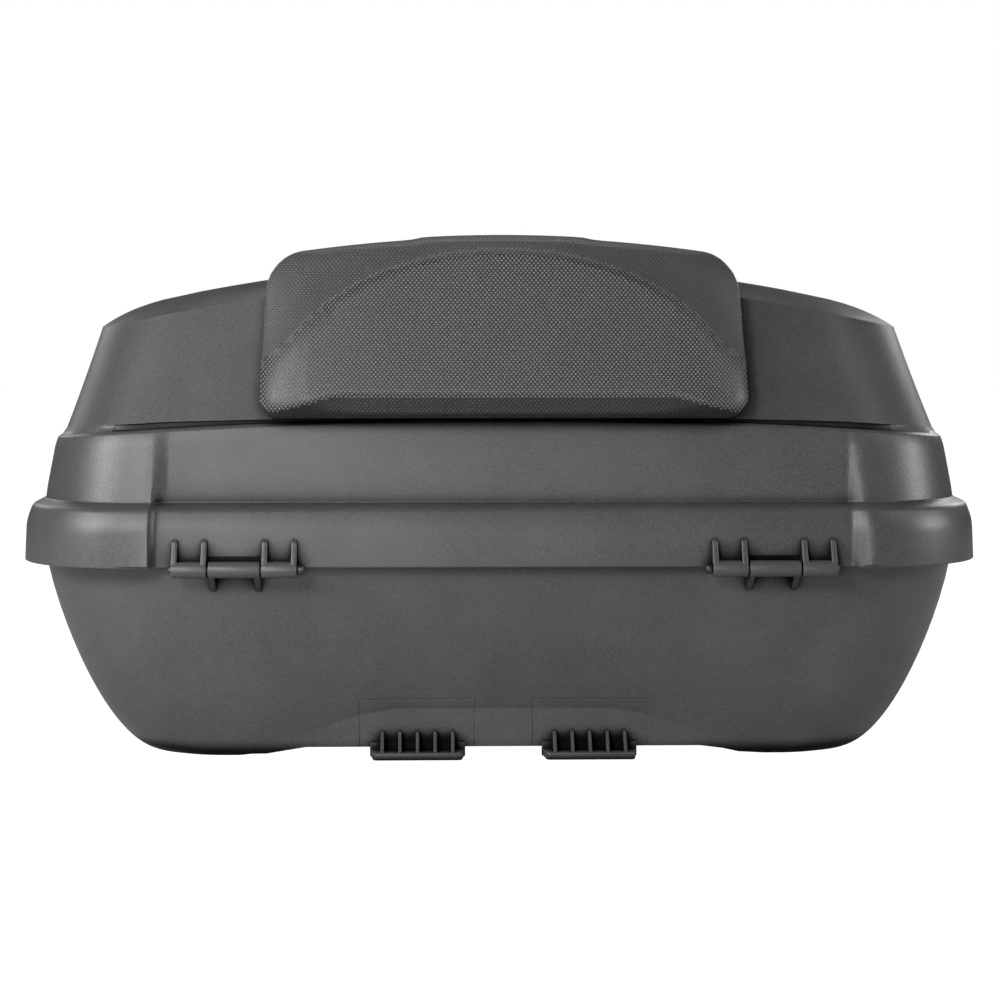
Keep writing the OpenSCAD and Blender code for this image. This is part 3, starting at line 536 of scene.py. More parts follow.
def moulded_abs(name, base, light, rough=(0.36, 0.48)):
    """Injection-moulded ABS with a spark-eroded grain: matte and speckled, edges painted lighter as
    wear and highlight, crevices painted darker as shade.
    """
    material, tree, shader, where = blank(name)
    # The real grain is about a third of this; it is drawn this coarse so that it shows.
    grain_mm = bpy.context.scene.top_case.grain / MM
    big = {"Scale": per_metre(45), "Detail": 4.0, "Roughness": 0.6}
    small = {"Scale": per_metre(grain_mm), "Detail": 2.0, "Roughness": 0.7}
    mottle = add(tree, "TexNoise", big, where).outputs["Fac"]
    grain = add(tree, "TexNoise", small, where).outputs["Fac"]
    pits = add(tree, "TexVoronoi", {"Scale": per_metre(1.3 * grain_mm)}, where).outputs["Distance"]
    spread = {"From Min": 0.25, "From Max": 0.75, "To Min": -1.15, "To Max": -0.65}
    cloud = add(tree, "MapRange", spread, {"Value": mottle}).outputs["Result"]
    speckle = add(
        tree, "Math", {1: 2.8}, {0: grain, 2: cloud}, operation="MULTIPLY_ADD", use_clamp=True
    ).outputs[0]
    colour = dress(tree, shader, (base, light), speckle, rough, grain)
    # Raised edges are painted paler, partly as rubbed wear and partly as painted highlight;
    # crevices get painted shade and less sheen.
    raised = add(tree, "NewGeometry").outputs["Pointiness"]
    spread = {"From Min": 0.53, "From Max": 0.6, "To Min": 0.0, "To Max": 0.35}
    wear_and_highlight = add(tree, "MapRange", spread, {"Value": raised}).outputs["Result"]
    pale_wear_highlight = tuple(min(1.0, 1.9 * c) for c in light[:3]) + (1.0,)
    worn_and_highlit = add(tree, "Mix", {7: pale_wear_highlight}, {"Factor": wear_and_highlight, 6: colour}, data_type="RGBA").outputs[2]
    # Painted shade: an occlusion node darkens the colour towards black and dims the sheen in
    # crevices, corners and gaps.
    shade_occlusion = add(tree, "AmbientOcclusion", {"Distance": 12 * MM}, samples=12).outputs["AO"]
    spread = {"From Min": 0.45, "From Max": 0.9, "To Min": 0.08, "To Max": 1.0}
    shade = add(tree, "MapRange", spread, {"Value": shade_occlusion}).outputs["Result"]
    shaded_colour = add(
        tree, "Mix", {6: (0, 0, 0, 1)}, {"Factor": shade, 7: worn_and_highlit}, data_type="RGBA"
    ).outputs[2]
    tree.links.new(shaded_colour, shader.inputs["Base Color"])
    shaded_sheen = add(tree, "Math", {1: 0.5}, {0: shade}, operation="MULTIPLY").outputs[0]
    tree.links.new(shaded_sheen, shader.inputs["Specular IOR Level"])
    height = add(tree, "Math", {1: 0.6}, {0: pits, 2: grain}, operation="MULTIPLY_ADD").outputs[0]
    relief = {"Strength": 0.5, "Distance": 0.12 * MM}
    bump = add(tree, "Bump", relief, {"Height": height}).outputs["Normal"]
    tree.links.new(bump, shader.inputs["Normal"])
    shader.inputs["IOR"].default_value = 1.52
    return material


def foam_skin(name, base, light, rough=(0.38, 0.5)):
    """Self-skinned polyurethane foam from a textured mould: supple, a little sheen on the dots."""
    material, tree, shader, where = blank(name)
    mottle = add(tree, "TexNoise", {"Scale": per_metre(40), "Detail": 3.0}, where).outputs["Fac"]
    fine = add(tree, "TexNoise", {"Scale": per_metre(0.7), "Detail": 2.0}, where).outputs["Fac"]
    dress(tree, shader, (base, light), mottle, rough, fine)
    relief = {"Strength": 0.15, "Distance": 0.1 * MM}
    bump = add(tree, "Bump", relief, {"Height": fine}).outputs["Normal"]
    tree.links.new(bump, shader.inputs["Normal"])
    return material


def plated_metal(name, base, light, rough=(0.28, 0.42)):
    """Zinc-plated steel or satin chrome: metallic, with fine drawn streaks and a cloudy bloom."""
    material, tree, shader, where = blank(name)
    drawn = {"Vector": add(tree, "Mapping", {"Scale": (1.0, 1.0, 0.06)}, where).outputs["Vector"]}
    streak = add(tree, "TexNoise", {"Scale": per_metre(0.8), "Detail": 3.0}, drawn).outputs["Fac"]
    bloom = add(tree, "TexNoise", {"Scale": per_metre(6), "Detail": 3.0}, where).outputs["Fac"]
    dress(tree, shader, (base, light), bloom, rough, streak)
    shader.inputs["Metallic"].default_value = 1.0
    return material


def lens_plastic(name, base, light):
    """Red acrylic reflector: glossy, with small corner-cube cells that sparkle through it."""
    material, tree, shader, where = blank(name)
    grid = {"Scale": per_metre(2.4), "Randomness": 0.0}
    cells = add(tree, "TexVoronoi", grid, where, distance="MANHATTAN").outputs["Distance"]
    colour = add(tree, "Mix", {6: light, 7: base}, {"Factor": cells}, data_type="RGBA").outputs[2]
    tree.links.new(colour, shader.inputs["Base Color"])
    relief = {"Strength": 0.35, "Distance": 0.4 * MM}
    bump = add(tree, "Bump", relief, {"Height": cells}).outputs["Normal"]
    tree.links.new(bump, shader.inputs["Normal"])
    shader.inputs["Roughness"].default_value = 0.12
    shader.inputs["Coat Weight"].default_value = 0.6
    shader.inputs["Coat Roughness"].default_value = 0.04
    return material


def sealing_rubber(name, base, light):
    """Extruded EPDM rubber: dull black with a faint chalky bloom."""
    material, tree, shader, where = blank(name)
    bloom = add(tree, "TexNoise", {"Scale": per_metre(9), "Detail": 4.0}, where).outputs["Fac"]
    dress(tree, shader, (base, light), bloom, (0.6, 0.78), bloom)
    return material


# ------------------------------------------------------------------ settings


class TopCaseSettings(bpy.types.PropertyGroup):
    """Sizes and colours that a user would change."""

    plastic: bpy.props.StringProperty(
        name="Plastic", description="Colour of both mouldings, sRGB hex", default="#343435"
    )
    plastic_light: bpy.props.StringProperty(
        name="Plastic, light", description="Light share of the mottle, sRGB hex", default="#4b4b4c"
    )
    # The pad's skin colour is dark on purpose: between the dots it is painted shade.
    pad: bpy.props.StringProperty(
        name="Pad", description="Colour of the pad's skin, sRGB hex", default="#202021"
    )
    pad_light: bpy.props.StringProperty(
        name="Pad, light", description="Light share of the pad's skin, sRGB hex", default="#252526"
    )
    # The dots are lighter than the skin they stand on: a painted highlight on their tops.
    dots: bpy.props.StringProperty(
        name="Dots", description="Colour of the pad's raised dots, sRGB hex", default="#555556"
    )
    lens: bpy.props.StringProperty(
        name="Reflector", description="Colour of the reflectors, sRGB hex", default="#8e0a0e"
    )
    grain: bpy.props.FloatProperty(
        name="Grain",
        description="Width of the plastic's moulded grain",
        default=0.85 * MM,
        min=0.2 * MM,
        unit="LENGTH",
        precision=5,
    )
    dot_pitch: bpy.props.FloatProperty(
        name="Dot pitch",
        description="Distance between the raised dots of the pad",
        default=2.5 * MM,
        min=1.5 * MM,
        unit="LENGTH",
        precision=5,
    )
    dot_height: bpy.props.FloatProperty(
        name="Dot height",
        description="Height of the raised dots of the pad",
        default=0.42 * MM,
        min=0.1 * MM,
        unit="LENGTH",
        precision=5,
    )
    edge: bpy.props.FloatProperty(
        name="Edge",
        description="Rounding of the ribs' and tongues' edges",
        default=0.7 * MM,
        min=0.1 * MM,
        unit="LENGTH",
        precision=5,
    )


MATERIALS = {}


def materials():
    """Makes the materials once and returns them by short name."""
    s = bpy.context.scene.top_case
    table = (
        ("abs", moulded_abs, "moulded_abs_grey", s.plastic, s.plastic_light),
        # The black plastic also serves as painted shade on the lid's faces in the gap under its
        # dome.
        ("black", moulded_abs, "moulded_abs_black", "#1d1d1e", "#262627", (0.42, 0.55)),
        # Three tones of one foam skin: the dark one between the panel's dots and on the foot's dots
        # is painted shade, the light one on the panel's dots is painted highlight, and the mid one
        # is the border's.
        ("pad", foam_skin, "polyurethane_skin", s.pad, s.pad_light),
        ("pad_border", foam_skin, "polyurethane_border", "#3a3a3b", "#434344"),
        ("dots", foam_skin, "polyurethane_dots", s.dots, "#5f5f60", (0.3, 0.4)),
        ("rubber", sealing_rubber, "epdm_seal", "#141414", "#232322"),
        ("steel", plated_metal, "zinc_plated_steel", "#b4b5b6", "#c9cac8"),
        ("pin", plated_metal, "blackened_steel", "#4a4a4b", "#5c5c5c", (0.4, 0.55)),
        ("lock", plated_metal, "satin_chrome", "#c4c5c7", "#d8d9da", (0.16, 0.26)),
        ("lens", lens_plastic, "acrylic_reflector", s.lens, "#c8252a"),
        ("button", moulded_abs, "moulded_abs_red", "#7d0f10", "#8e1516", (0.34, 0.46)),
    )
    for short, make, name, base, light, *rough in table:
        if short not in MATERIALS:
            MATERIALS[short] = make(name, linear(base), linear(light), *rough)
    return MATERIALS


# ------------------------------------------------------------------ lid


def shadow_gap(lip, foot, plain, up):
    """A ring of the gap under the dome: set back behind its foot, running out at the ends."""
    ring = []
    for a, b, deep in zip(lip, foot, dome_ring(0, 0, 0, GAP)):
        k = smooth((GAP_END - abs(b[0])) / GAP_RUN)
        cut = (deep[0], deep[1], lerp(a[2] + 0.3, b[2] - 0.2, up))
        ring.append(tuple(lerp(lerp(a[n], b[n], plain), cut[n], k) for n in range(3)))
    return ring


def in_painted_shade_gap(point, normal):
    """Whether a face of the lid lies in the gap under the dome, whose faces are painted dark as
    shade.
    """
    up = point.z - band_top(point.x)
    outward = normal.x * point.x + normal.y * point.y > -20
    return abs(point.x) < GAP_SHADE_X and 0.22 < up < foot_rise(point.x) - 0.05 and outward


def lid_rings():
    """Rings of the lid from the inside of its crown, round the skirt's edge, to its outside."""
    steps = [0.6, 1.6, 3.2, 5.4, 8, 11.5, 16, 21, 27, 34, EDGE_W]
    inner_crown = dome_ring(1 + EDGE_W, 1, WALL, WALL)
    outer_crown = dome_ring(1 + EDGE_W, 1, 0)
    inner = [shrink(inner_crown, f, WALL) for f in (0.06, 0.2, 0.4, 0.6, 0.8, 0.93)]
    inner += [dome_ring(1 + s, 1, edge_drop(s) + WALL, WALL) for s in steps[:2:-1]]
    inner += [dome_ring(1, 1, EDGE_H + 0.4 * WALL, WALL)]
    inner += [
        dome_ring(t, t, EDGE_H + 0.3 * WALL, WALL, lerp(0.5 * WALL, 0.4, t))
        for t in (0.97, 0.75, 0.5, 0.25, 0.03, 0)
    ]
    inner += [[(x, y, band_top(x) - 3) for x, y, _ in inner[-1]]]
    section = eased(
        [
            (LIP_I + WALL, BAND_Z - 4, 0),
            (BAND_I + WALL + 0.4, STEP_Z + 6, 2),
            (BAND_I + 1.6, SHELF_Z, 1),
            (WALL + SKIRT_DRAFT + 2, SHELF_Z, 1),
            (WALL + SKIRT_DRAFT, STEP_Z - 9, 1),
            (WALL, SKIRT_Z, 0.5),
            (0, SKIRT_Z, 1.0),
            (SKIRT_DRAFT - 1.8, STEP_Z - 13, 8),
            (SKIRT_DRAFT + 2.0, STEP_Z - 3.0, 2.4),
            (BAND_I - 0.6, STEP_Z + 0.4, 1.0),
            *[
                (lerp(BAND_I - 0.6, LIP_I - 0.9, k), lerp(STEP_Z + 0.4, BAND_Z - 8, k), 0)
                for k in (0.18, 0.5)
            ],
            (LIP_I - 0.9, BAND_Z - 8, 5),
            (LIP_I + 1.0, BAND_Z - 1.2, 1.6),
            (LIP_I + 3.4, BAND_Z + 0.2, 0),
        ]
    )
    skin = [lid_ring(p.x, p.y) for p in section]
    foot = dome_ring(0, 0, 0)
    outer = [shadow_gap(skin[-1], foot, 0.5, 0.0), shadow_gap(skin[-1], foot, 0.9, 1.0)]
    outer += [dome_ring(t, t, EDGE_H) for t in (0, 0.012, 0.1, 0.25, 0.4, 0.55, 0.7, 0.85, 0.96, 1)]
    outer += [dome_ring(1 + s, 1, edge_drop(s)) for s in steps]
    outer += [shrink(outer_crown, f, 0) for f in (0.93, 0.82, 0.68, 0.54, 0.4, 0.26, 0.13, 0.05)]
    return inner + skin + outer


def along_x(x):
    return lambda p: (x, p[0], p[1])


LID_KNUCKLES = [s * HINGE_X + a for s in (-1, 1) for a in (LID_FROM, -LID_TO)]
TUB_KNUCKLES = [s * HINGE_X - TUB_KNUCKLE / 2 for s in (-1, 1)]


def hinge_fills(places, length, web, rib, edge):
    """Fill functions for a row of knuckles: rolls, webs from them to the wall, and end ribs."""
    low, high, back = web
    outline = [(AXIS_Y, low), (back, low), (back, high), (AXIS_Y, high)]

    def rolls(bm):
        for x in places:
            roll = bar(bm, (x, AXIS_Y, AXIS_Z), (1, 0, 0), length, KNUCKLE_R)
            round_edges(bm, roll, ROLL_EDGE)

    def webs(bm):
        for x in places:
            prism(bm, outline, along_x(x + WEB_IN), (length - 2 * WEB_IN, 0, 0))

    def ribs(bm):
        for x in places:
            for a in (0, length - RIB_T):
                body = prism(bm, rib, along_x(x + a), (RIB_T, 0, 0))
                round_edges(bm, body, edge)

    return rolls, webs, ribs


def lid_hinge_fills():
    edge = bpy.context.scene.top_case.edge / MM
    top = AXIS_Z + RIB_H
    rib = [
        (AXIS_Y - 0.8 * KNUCKLE_R, AXIS_Z + 0.6 * KNUCKLE_R),
        (AXIS_Y, AXIS_Z),
        (1.4 - PANEL_Y, AXIS_Z + 1),
        (1.4 - PANEL_Y, top),
        (-0.6 - PANEL_Y, top),
        (-2.4 - PANEL_Y, top - 1.4),
        (-3.2 - PANEL_Y, top - 4.5),
    ]
    web = (AXIS_Z + 1, AXIS_Z + KNUCKLE_R, 1 - PANEL_Y)
    return hinge_fills(LID_KNUCKLES, LID_KNUCKLE, web, rib, edge)


def tub_hinge_fills():
    edge = bpy.context.scene.top_case.edge / MM
    foot = AXIS_Z - TUB_RIB_H
    rib = [
        (AXIS_Y - 0.6 * KNUCKLE_R, AXIS_Z - 0.8 * KNUCKLE_R),
        (2 - TUB_F, AXIS_Z - KNUCKLE_R + 1),
        (2 - TUB_F, foot),
        (0.6 - TUB_F, foot),
    ]
    web = (AXIS_Z - KNUCKLE_R, AXIS_Z - 1, 1.5 - TUB_F)
    return hinge_fills(TUB_KNUCKLES, TUB_KNUCKLE, web, rib, 0.8 * edge)


def fill_hood(bm):
    outline = [
        (REAR - 3.4, SKIRT_Z - 2.5),
        (HOOD_FACE, SKIRT_Z - 2.5),
        (HOOD_FACE, STEP_Z - 9),
        (HOOD_FACE - 2.6, STEP_Z - 2),
        (REAR, STEP_Z + 1.8),
        (REAR - SKIRT_DRAFT - 5.6, STEP_Z + 1.8),
        (REAR - SKIRT_DRAFT - 1.4, STEP_Z - 9),
    ]
    body = prism(bm, outline, along_x(-HOOD_X), (2 * HOOD_X, 0, 0))
    outer = [v for v in body if v.co.y > (REAR + 5) * MM]
    round_edges(bm, outer, 2.2, 4, 20)
    ends = [v for v in bm.verts if abs(v.co.x) > (HOOD_X - 0.01) * MM and v.co.y > (REAR - 4) * MM]
    round_edges(bm, ends, 2.0, 4)


def dome_place(height):
    """Frame of the dome's hinge-side wall, with Z leaving the wall."""
    wall_y, low = FRONT - FOOT_FRONT_I, BAND_Z + 1.5
    high = crown(0, wall_y - DOME_FRONT) - EDGE_H
    lean = math.atan2(DOME_FRONT, high - low)
    turn = Matrix.Rotation(math.pi / 2 - lean, 4, "X")
    return Matrix.Translation((0, -wall_y, low)) @ turn @ Matrix.Translation((0, 0, height)), lean


def screw_places():
    return [(s * SCREW_X, SCREW_V0 + k * SCREW_V) for s in (-1, 1) for k in (0, 1)]


def fill_lid_bores(bm):
    for side in (-1, 1):
        x = side * HINGE_X - 2 * LID_TO
        bar(bm, (x, AXIS_Y, AXIS_Z), (1, 0, 0), 4 * LID_TO, PIN_R + PIN_CLEAR)


def fill_lid_cuts(bm):
    for side in (-1, 1):
        x = side * HINGE_X
        box(bm, (x - LID_FROM, -PANEL_Y - 4, 90), (x + LID_FROM, -PANEL_Y + 2 * WALL, SKIRT_Z + 7))
    box(bm, (WALL - HOOD_X, REAR - 12, 90), (HOOD_X - WALL, HOOD_FACE - WALL, STEP_Z - 8))
    place, _ = dome_place(-4 * WALL)
    up = place.to_3x3() @ Vector((0, 0, 1))
    for x, v in screw_places():
        bar(bm, place @ Vector((x, v, 0)), up, 6 * WALL, 2.9, segments=24)


def fill_lock_bore(bm):
    bar(bm, (0, HOOD_FACE - 8, LOCK_Z), (0, 1, 0), 14, LOCK_R + PIN_CLEAR)


class TOPCASE_OT_lid(bpy.types.Operator):
    """Lid moulding: stepped skirt, arched band and dome, with hinge knuckles and lock hood"""

    bl_idname = "topcase.lid"
    bl_label = "Lid moulding"

    def execute(self, context):
        bm, first, last = loft(lid_rings())
        close_pole(bm, first)
        close_pole(bm, last)
        bmesh.ops.recalc_face_normals(bm, faces=bm.faces[:])
        piece = as_object(bm, "lid_moulding")
        rolls, webs, ribs = lid_hinge_fills()
        carve(
            piece,
            joins=(fill_hood, rolls, webs, ribs),
            cuts=(fill_lid_cuts, fill_lid_bores, fill_lock_bore),
        )
        finish_piece(piece, "lid", materials()["abs"], ["lid_shell"])
        # The faces in the gap under the dome take the black plastic as painted shade.
        piece.data.materials.append(materials()["black"])
        for face in piece.data.polygons:
            face.material_index = int(in_painted_shade_gap(face.center / MM, face.normal))
        return {"FINISHED"}


# ------------------------------------------------------------------ tub

TUB_V = [1, 0.993, 0.985, 0.975, 0.962, 0.945, 0.925, 0.909, CREASE_V, 0.901, 0.885, 0.86, 0.825]
TUB_V += [0.79, 0.745, 0.7, 0.64, 0.58, 0.5, 0.42, 0.32, 0.22, 0.11, 0]


def tub_rings():
    """Rings of the tub from the outside of its floor, over the rim, to the inside of its floor."""
    rings = [tub_ring(v) for v in TUB_V]
    inner = RIM_I + 2.8 + WALL
    section = eased(
        [
            (RIM_I + 2.8, SKIRT_Z + 8, 0),
            (RIM_I + 2.8, RIM_Z - 7.5, 0.8),
            (RIM_I, RIM_Z - 5.5, 0.6),
            (RIM_I, RIM_Z, 0.6),
            (GROOVE_A, RIM_Z, 0.3),
            (GROOVE_A, RIM_Z - GROOVE_D, 0.3),
            (GROOVE_B, RIM_Z - GROOVE_D, 0.3),
            (GROOVE_B, RIM_Z, 0.3),
            (GROOVE_B + 2.1, RIM_Z, 0.6),
            (GROOVE_B + 2.1, RIM_Z - 7.5, 0.8),
            (inner, RIM_Z - 12, 0.8),
            (inner, SKIRT_Z + 8, 0),
        ],
        3,
    )
    rings += [rim_ring(p.x, p.y) for p in section]
    rings += [tub_ring(v, WALL) for v in TUB_V[::-1] if v not in (0.909, 0.901)]
    return rings


WITNESS_X, WITNESS_Z = (17.5, 86.0), 34.5


def score_witness_lines(bm):
    """Shallow V lines round each tongue, where an insert of the mould met its block."""
    half, depth, guard, front = 0.35, 0.22, 0.9, -150.0

    def near(f):
        c = f.calc_center_median()
        return c.y < front * MM and c.z < 60 * MM and abs(c.x) < 120 * MM and f.normal.y < -0.3

    def cut(point, normal):
        faces = [f for f in bm.faces if near(f)]
        geom = faces + once(e for f in faces for e in f.edges)
        geom += once(v for f in faces for v in f.verts)
        bmesh.ops.bisect_plane(
            bm, geom=geom, dist=1e-7, plane_co=Vector(point) * MM, plane_no=normal
        )

    for step in (-guard, -half, 0, half, guard):
        for x in WITNESS_X:
            for side in (-1, 1):
                cut((side * (x + step), 0, 0), (1, 0, 0))
        cut((0, 0, WITNESS_Z + step), (0, 0, 1))
    bm.normal_update()
    for v in bm.verts:
        x, y, z = abs(v.co.x) / MM, v.co.y / MM, v.co.z / MM
        on_side = any(abs(x - w) < 0.01 for w in WITNESS_X) and z < WITNESS_Z + 0.01
        on_top = abs(z - WITNESS_Z) < 0.01 and WITNESS_X[0] < x < WITNESS_X[1]
        if y < front and v.normal.y < -0.2 and (on_side or on_top):
            v.co.y += depth * MM


def tongue_fills():
    edge = bpy.context.scene.top_case.edge / MM
    y0, y1, x0 = -PLINTH_Y - TONGUE_L, -PLINTH_Y + WALL, TONGUE_W / 2

    def plates(bm):
        for side in (-1, 1):
            half = [(x0 - 1.5, y0), (x0, y0 + 1.5), (x0 + 2, y1)]
            outline = [(1.5 - x0, y0), *half, (-x0 - 2, y1), (-x0, y0 + 1.5)]
            place = lambda p: (p[0] + side * TONGUE_X, p[1], 0)
            body = prism(bm, outline, place, (0, 0, TONGUE_T))
            round_edges(bm, body, edge)

    def backs(bm):
        for side in (-1, 1):
            left, right = side * TONGUE_X - x0 - 2, side * TONGUE_X + x0 + 2
            box(bm, (left, 0.4 - PLINTH_Y, 0), (right, WALL - PLINTH_Y, PLINTH_Z + WALL))

    def gussets(bm):
        pitch = (TONGUE_W - 11) / (GUSSETS - 1)
        for side in (-1, 1):
            for i in range(GUSSETS):
                x = side * TONGUE_X + (i - (GUSSETS - 1) / 2) * pitch - GUSSET_T / 2
                outline = [
                    (y0 + 1.6, TONGUE_T - 0.6),
                    (1 - PLINTH_Y, TONGUE_T - 0.6),
                    (1 - PLINTH_Y, GUSSET_H),
                    (-PLINTH_Y - 3, GUSSET_H),
                ]
                body = prism(bm, outline, along_x(x), (GUSSET_T, 0, 0))
                round_edges(bm, body, 0.45)

    return plates, backs, gussets


def fill_tub_cuts(bm):
    for side in (-1, 1):
        x = side * HINGE_X - TUB_KNUCKLE
        bar(bm, (x, AXIS_Y, AXIS_Z), (1, 0, 0), 2 * TUB_KNUCKLE, PIN_R + PIN_CLEAR)
    low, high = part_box("release_button")
    gap = 0.4
    box(
        bm,
        (low.x / MM - gap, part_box("release_housing")[1].y / MM, low.z / MM - gap),
        (high.x / MM + gap, TUB_B, high.z / MM + gap),
    )
    low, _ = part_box("plate_catch")
    box(
        bm,
        (low.x / MM - gap, low.y / MM + HOOK_NOSE - RELEASE_TRAVEL - gap, -1),
        (-low.x / MM + gap, low.y / MM + HOOK_NOSE + HOOK_STEM + gap, PLINTH_Z + WALL + 1),
    )


class TOPCASE_OT_tub(bpy.types.Operator):
    """Tub moulding: tapered walls on two feet, grooved rim, hinge knuckles and plate tongues"""

    bl_idname = "topcase.tub"
    bl_label = "Tub moulding"

    def execute(self, context):
        bm, first, last = loft(tub_rings())
        close_floor(bm, first)
        close_floor(bm, last)
        bmesh.ops.recalc_face_normals(bm, faces=bm.faces[:])
        score_witness_lines(bm)
        piece = as_object(bm, "tub_moulding")
        rolls, webs, ribs = tub_hinge_fills()
        plates, backs, gussets = tongue_fills()
        carve(
            piece,
            joins=(webs, rolls, ribs, backs, plates, gussets),
            cuts=(fill_tub_cuts,),
        )
        finish_piece(piece, "base", materials()["abs"], ["base_shell"])
        return {"FINISHED"}


class TOPCASE_OT_seal(bpy.types.Operator):
    """Rim seal: a bulb section carried round the rim's groove"""

    bl_idname = "topcase.seal"
    bl_label = "Rim seal"

    def execute(self, context):
        a, b = GROOVE_A + 0.35, GROOVE_B - 0.35
        low, high, middle = RIM_Z - GROOVE_D + 0.2, SHELF_Z - 0.4, (a + b) / 2
        section = [Vector((a, low)), Vector((a, RIM_Z + 0.4))]
        for k in range(1, 12):
            t = math.pi * k / 12
            rise = (high - RIM_Z - 0.4) * math.sin(t)
            section.append(Vector((middle - (b - a) / 2 * math.cos(t), RIM_Z + 0.4 + rise)))
        section += [Vector((b, RIM_Z + 0.4)), Vector((b, low)), Vector((a, low))]
        bm, _, _ = loft([rim_ring(p.x, p.y) for p in section])
        bmesh.ops.remove_doubles(bm, verts=bm.verts[:], dist=0.001 * MM)
        bmesh.ops.recalc_face_normals(bm, faces=bm.faces[:])
        piece = as_object(bm, "rim_seal_bulb")
        finish_piece(piece, "base", materials()["rubber"], ["rim_seal"], 50)
        return {"FINISHED"}


class TOPCASE_OT_hinge_pins(bpy.types.Operator):
    """Hinge pins: a plain pin with an upset head at its inboard end, one in each hinge"""

    bl_idname = "topcase.hinge_pins"
    bl_label = "Hinge pins"

    def execute(self, context):
        for side, name in ((-1, "left"), (1, "right")):
            bm = bmesh.new()
            x, out = side * HINGE_X, (side, 0, 0)
            start = (x - side * (LID_TO + 0.3), AXIS_Y, AXIS_Z)
            shank = bar(bm, start, out, 2 * LID_TO + 1.8, PIN_R, segments=32)
            round_edges(bm, shank, 0.5)
            head = bar(bm, (start[0] - side * 3.7, AXIS_Y, AXIS_Z), out, 3.7, PIN_R + 1)
            round_edges(bm, head, 0.8)
            piece = as_object(bm, "hinge_pin_" + name + "_turned")
            node = "hinge_pin_" + name
            finish_piece(piece, "base", materials()["pin"], [node])
        return {"FINISHED"}


# ------------------------------------------------------------------ backrest


def pad_outline():
    """The pad's outline in X and Z, from its foot round to the left."""
    shoulder, top = PAD_Z + PAD_H - PAD_ARCH, PAD_HW - PAD_IN - PAD_TOP_R
    foot = PAD_HW - PAD_FOOT_R
    side = [
        (PAD_HW - PAD_IN * i / 8, lerp(PAD_Z + PAD_FOOT_R, shoulder - PAD_TOP_R, i / 8))
        for i in range(8)
    ]
    crest = []
    for i in range(40):
        u = 1 - i / 20
        x = u * (PAD_HW - PAD_IN - 0.8 * PAD_TOP_R)
        swell = CREST_RISE * smooth((CREST_X - abs(x)) / 9)
        crest.append((x, shoulder - 0.6 * u * u + (PAD_ARCH - CREST_RISE) * (1 - u * u) + swell))
    return (
        [(lerp(-foot, foot, i / 36), PAD_Z) for i in range(36)]
        + arc(foot, PAD_Z + PAD_FOOT_R, PAD_FOOT_R, -90, 12)
        + side
        + arc(top, shoulder - PAD_TOP_R, PAD_TOP_R, 0, 16, 78)
        + crest
        + arc(-top, shoulder - PAD_TOP_R, PAD_TOP_R, 102, 16, 78)
        + [(-x, z) for x, z in side[:0:-1]]
        + [(-PAD_HW, PAD_Z + PAD_FOOT_R)]
        + arc(-foot, PAD_Z + PAD_FOOT_R, PAD_FOOT_R, 180, 12)[1:]
    )


def pad_back(z):
    place, lean = dome_place(0)
    low = place.translation
    return low.y - (PLATE_W + 0.1) / math.cos(lean) + (z - low.z) * math.tan(lean)


def panel_share(x, h):
    """Share of the raised front panel: whole inside an arch, falling away from its crease."""
    reach = PANEL_X + FLARE * smooth((FLARE_H - h) / FLARE_RUN)
    e = math.hypot(x / reach, max(0.0, h - PANEL_FOOT) / PANEL_H)
    return (1 - clamp((e - 1) / PANEL_FADE)) ** 2


def pad_bevel(x):
    """Height of the pad's undercut foot."""
    return lerp(BEVEL_H, BEVEL_END_H, smooth((abs(x) - BEVEL_X) / BEVEL_RUN))


def pad_point(x, z, f):
    x, z = x * f, PAD_MID + (z - PAD_MID) * f
    h, aside = z - PAD_Z, abs(x) / PAD_HW
    panel = (1 - PAD_BORDER) * PAD_T + PAD_SWELL * h / PAD_H
    full = PAD_BORDER * PAD_T + panel * panel_share(x, h)
    full -= BEVEL_IN * max(0.0, 1 - h / pad_bevel(x)) + PAD_FALL * aside**6
    turn = TURN + TURN_MORE * smooth((abs(x) - TURN_X) / TURN_RUN)
    k = max(0.0, (f - 1 + turn) / turn)
    thick = lerp(PAD_EDGE * PAD_T, full, math.sqrt(max(0.0, 1 - k * k)))
    return (x, pad_back(z) - thick, z)


def pad_base(x, z, f):
    x, z = x * f, PAD_MID + (z - PAD_MID) * f
    return (x, pad_back(z), z)


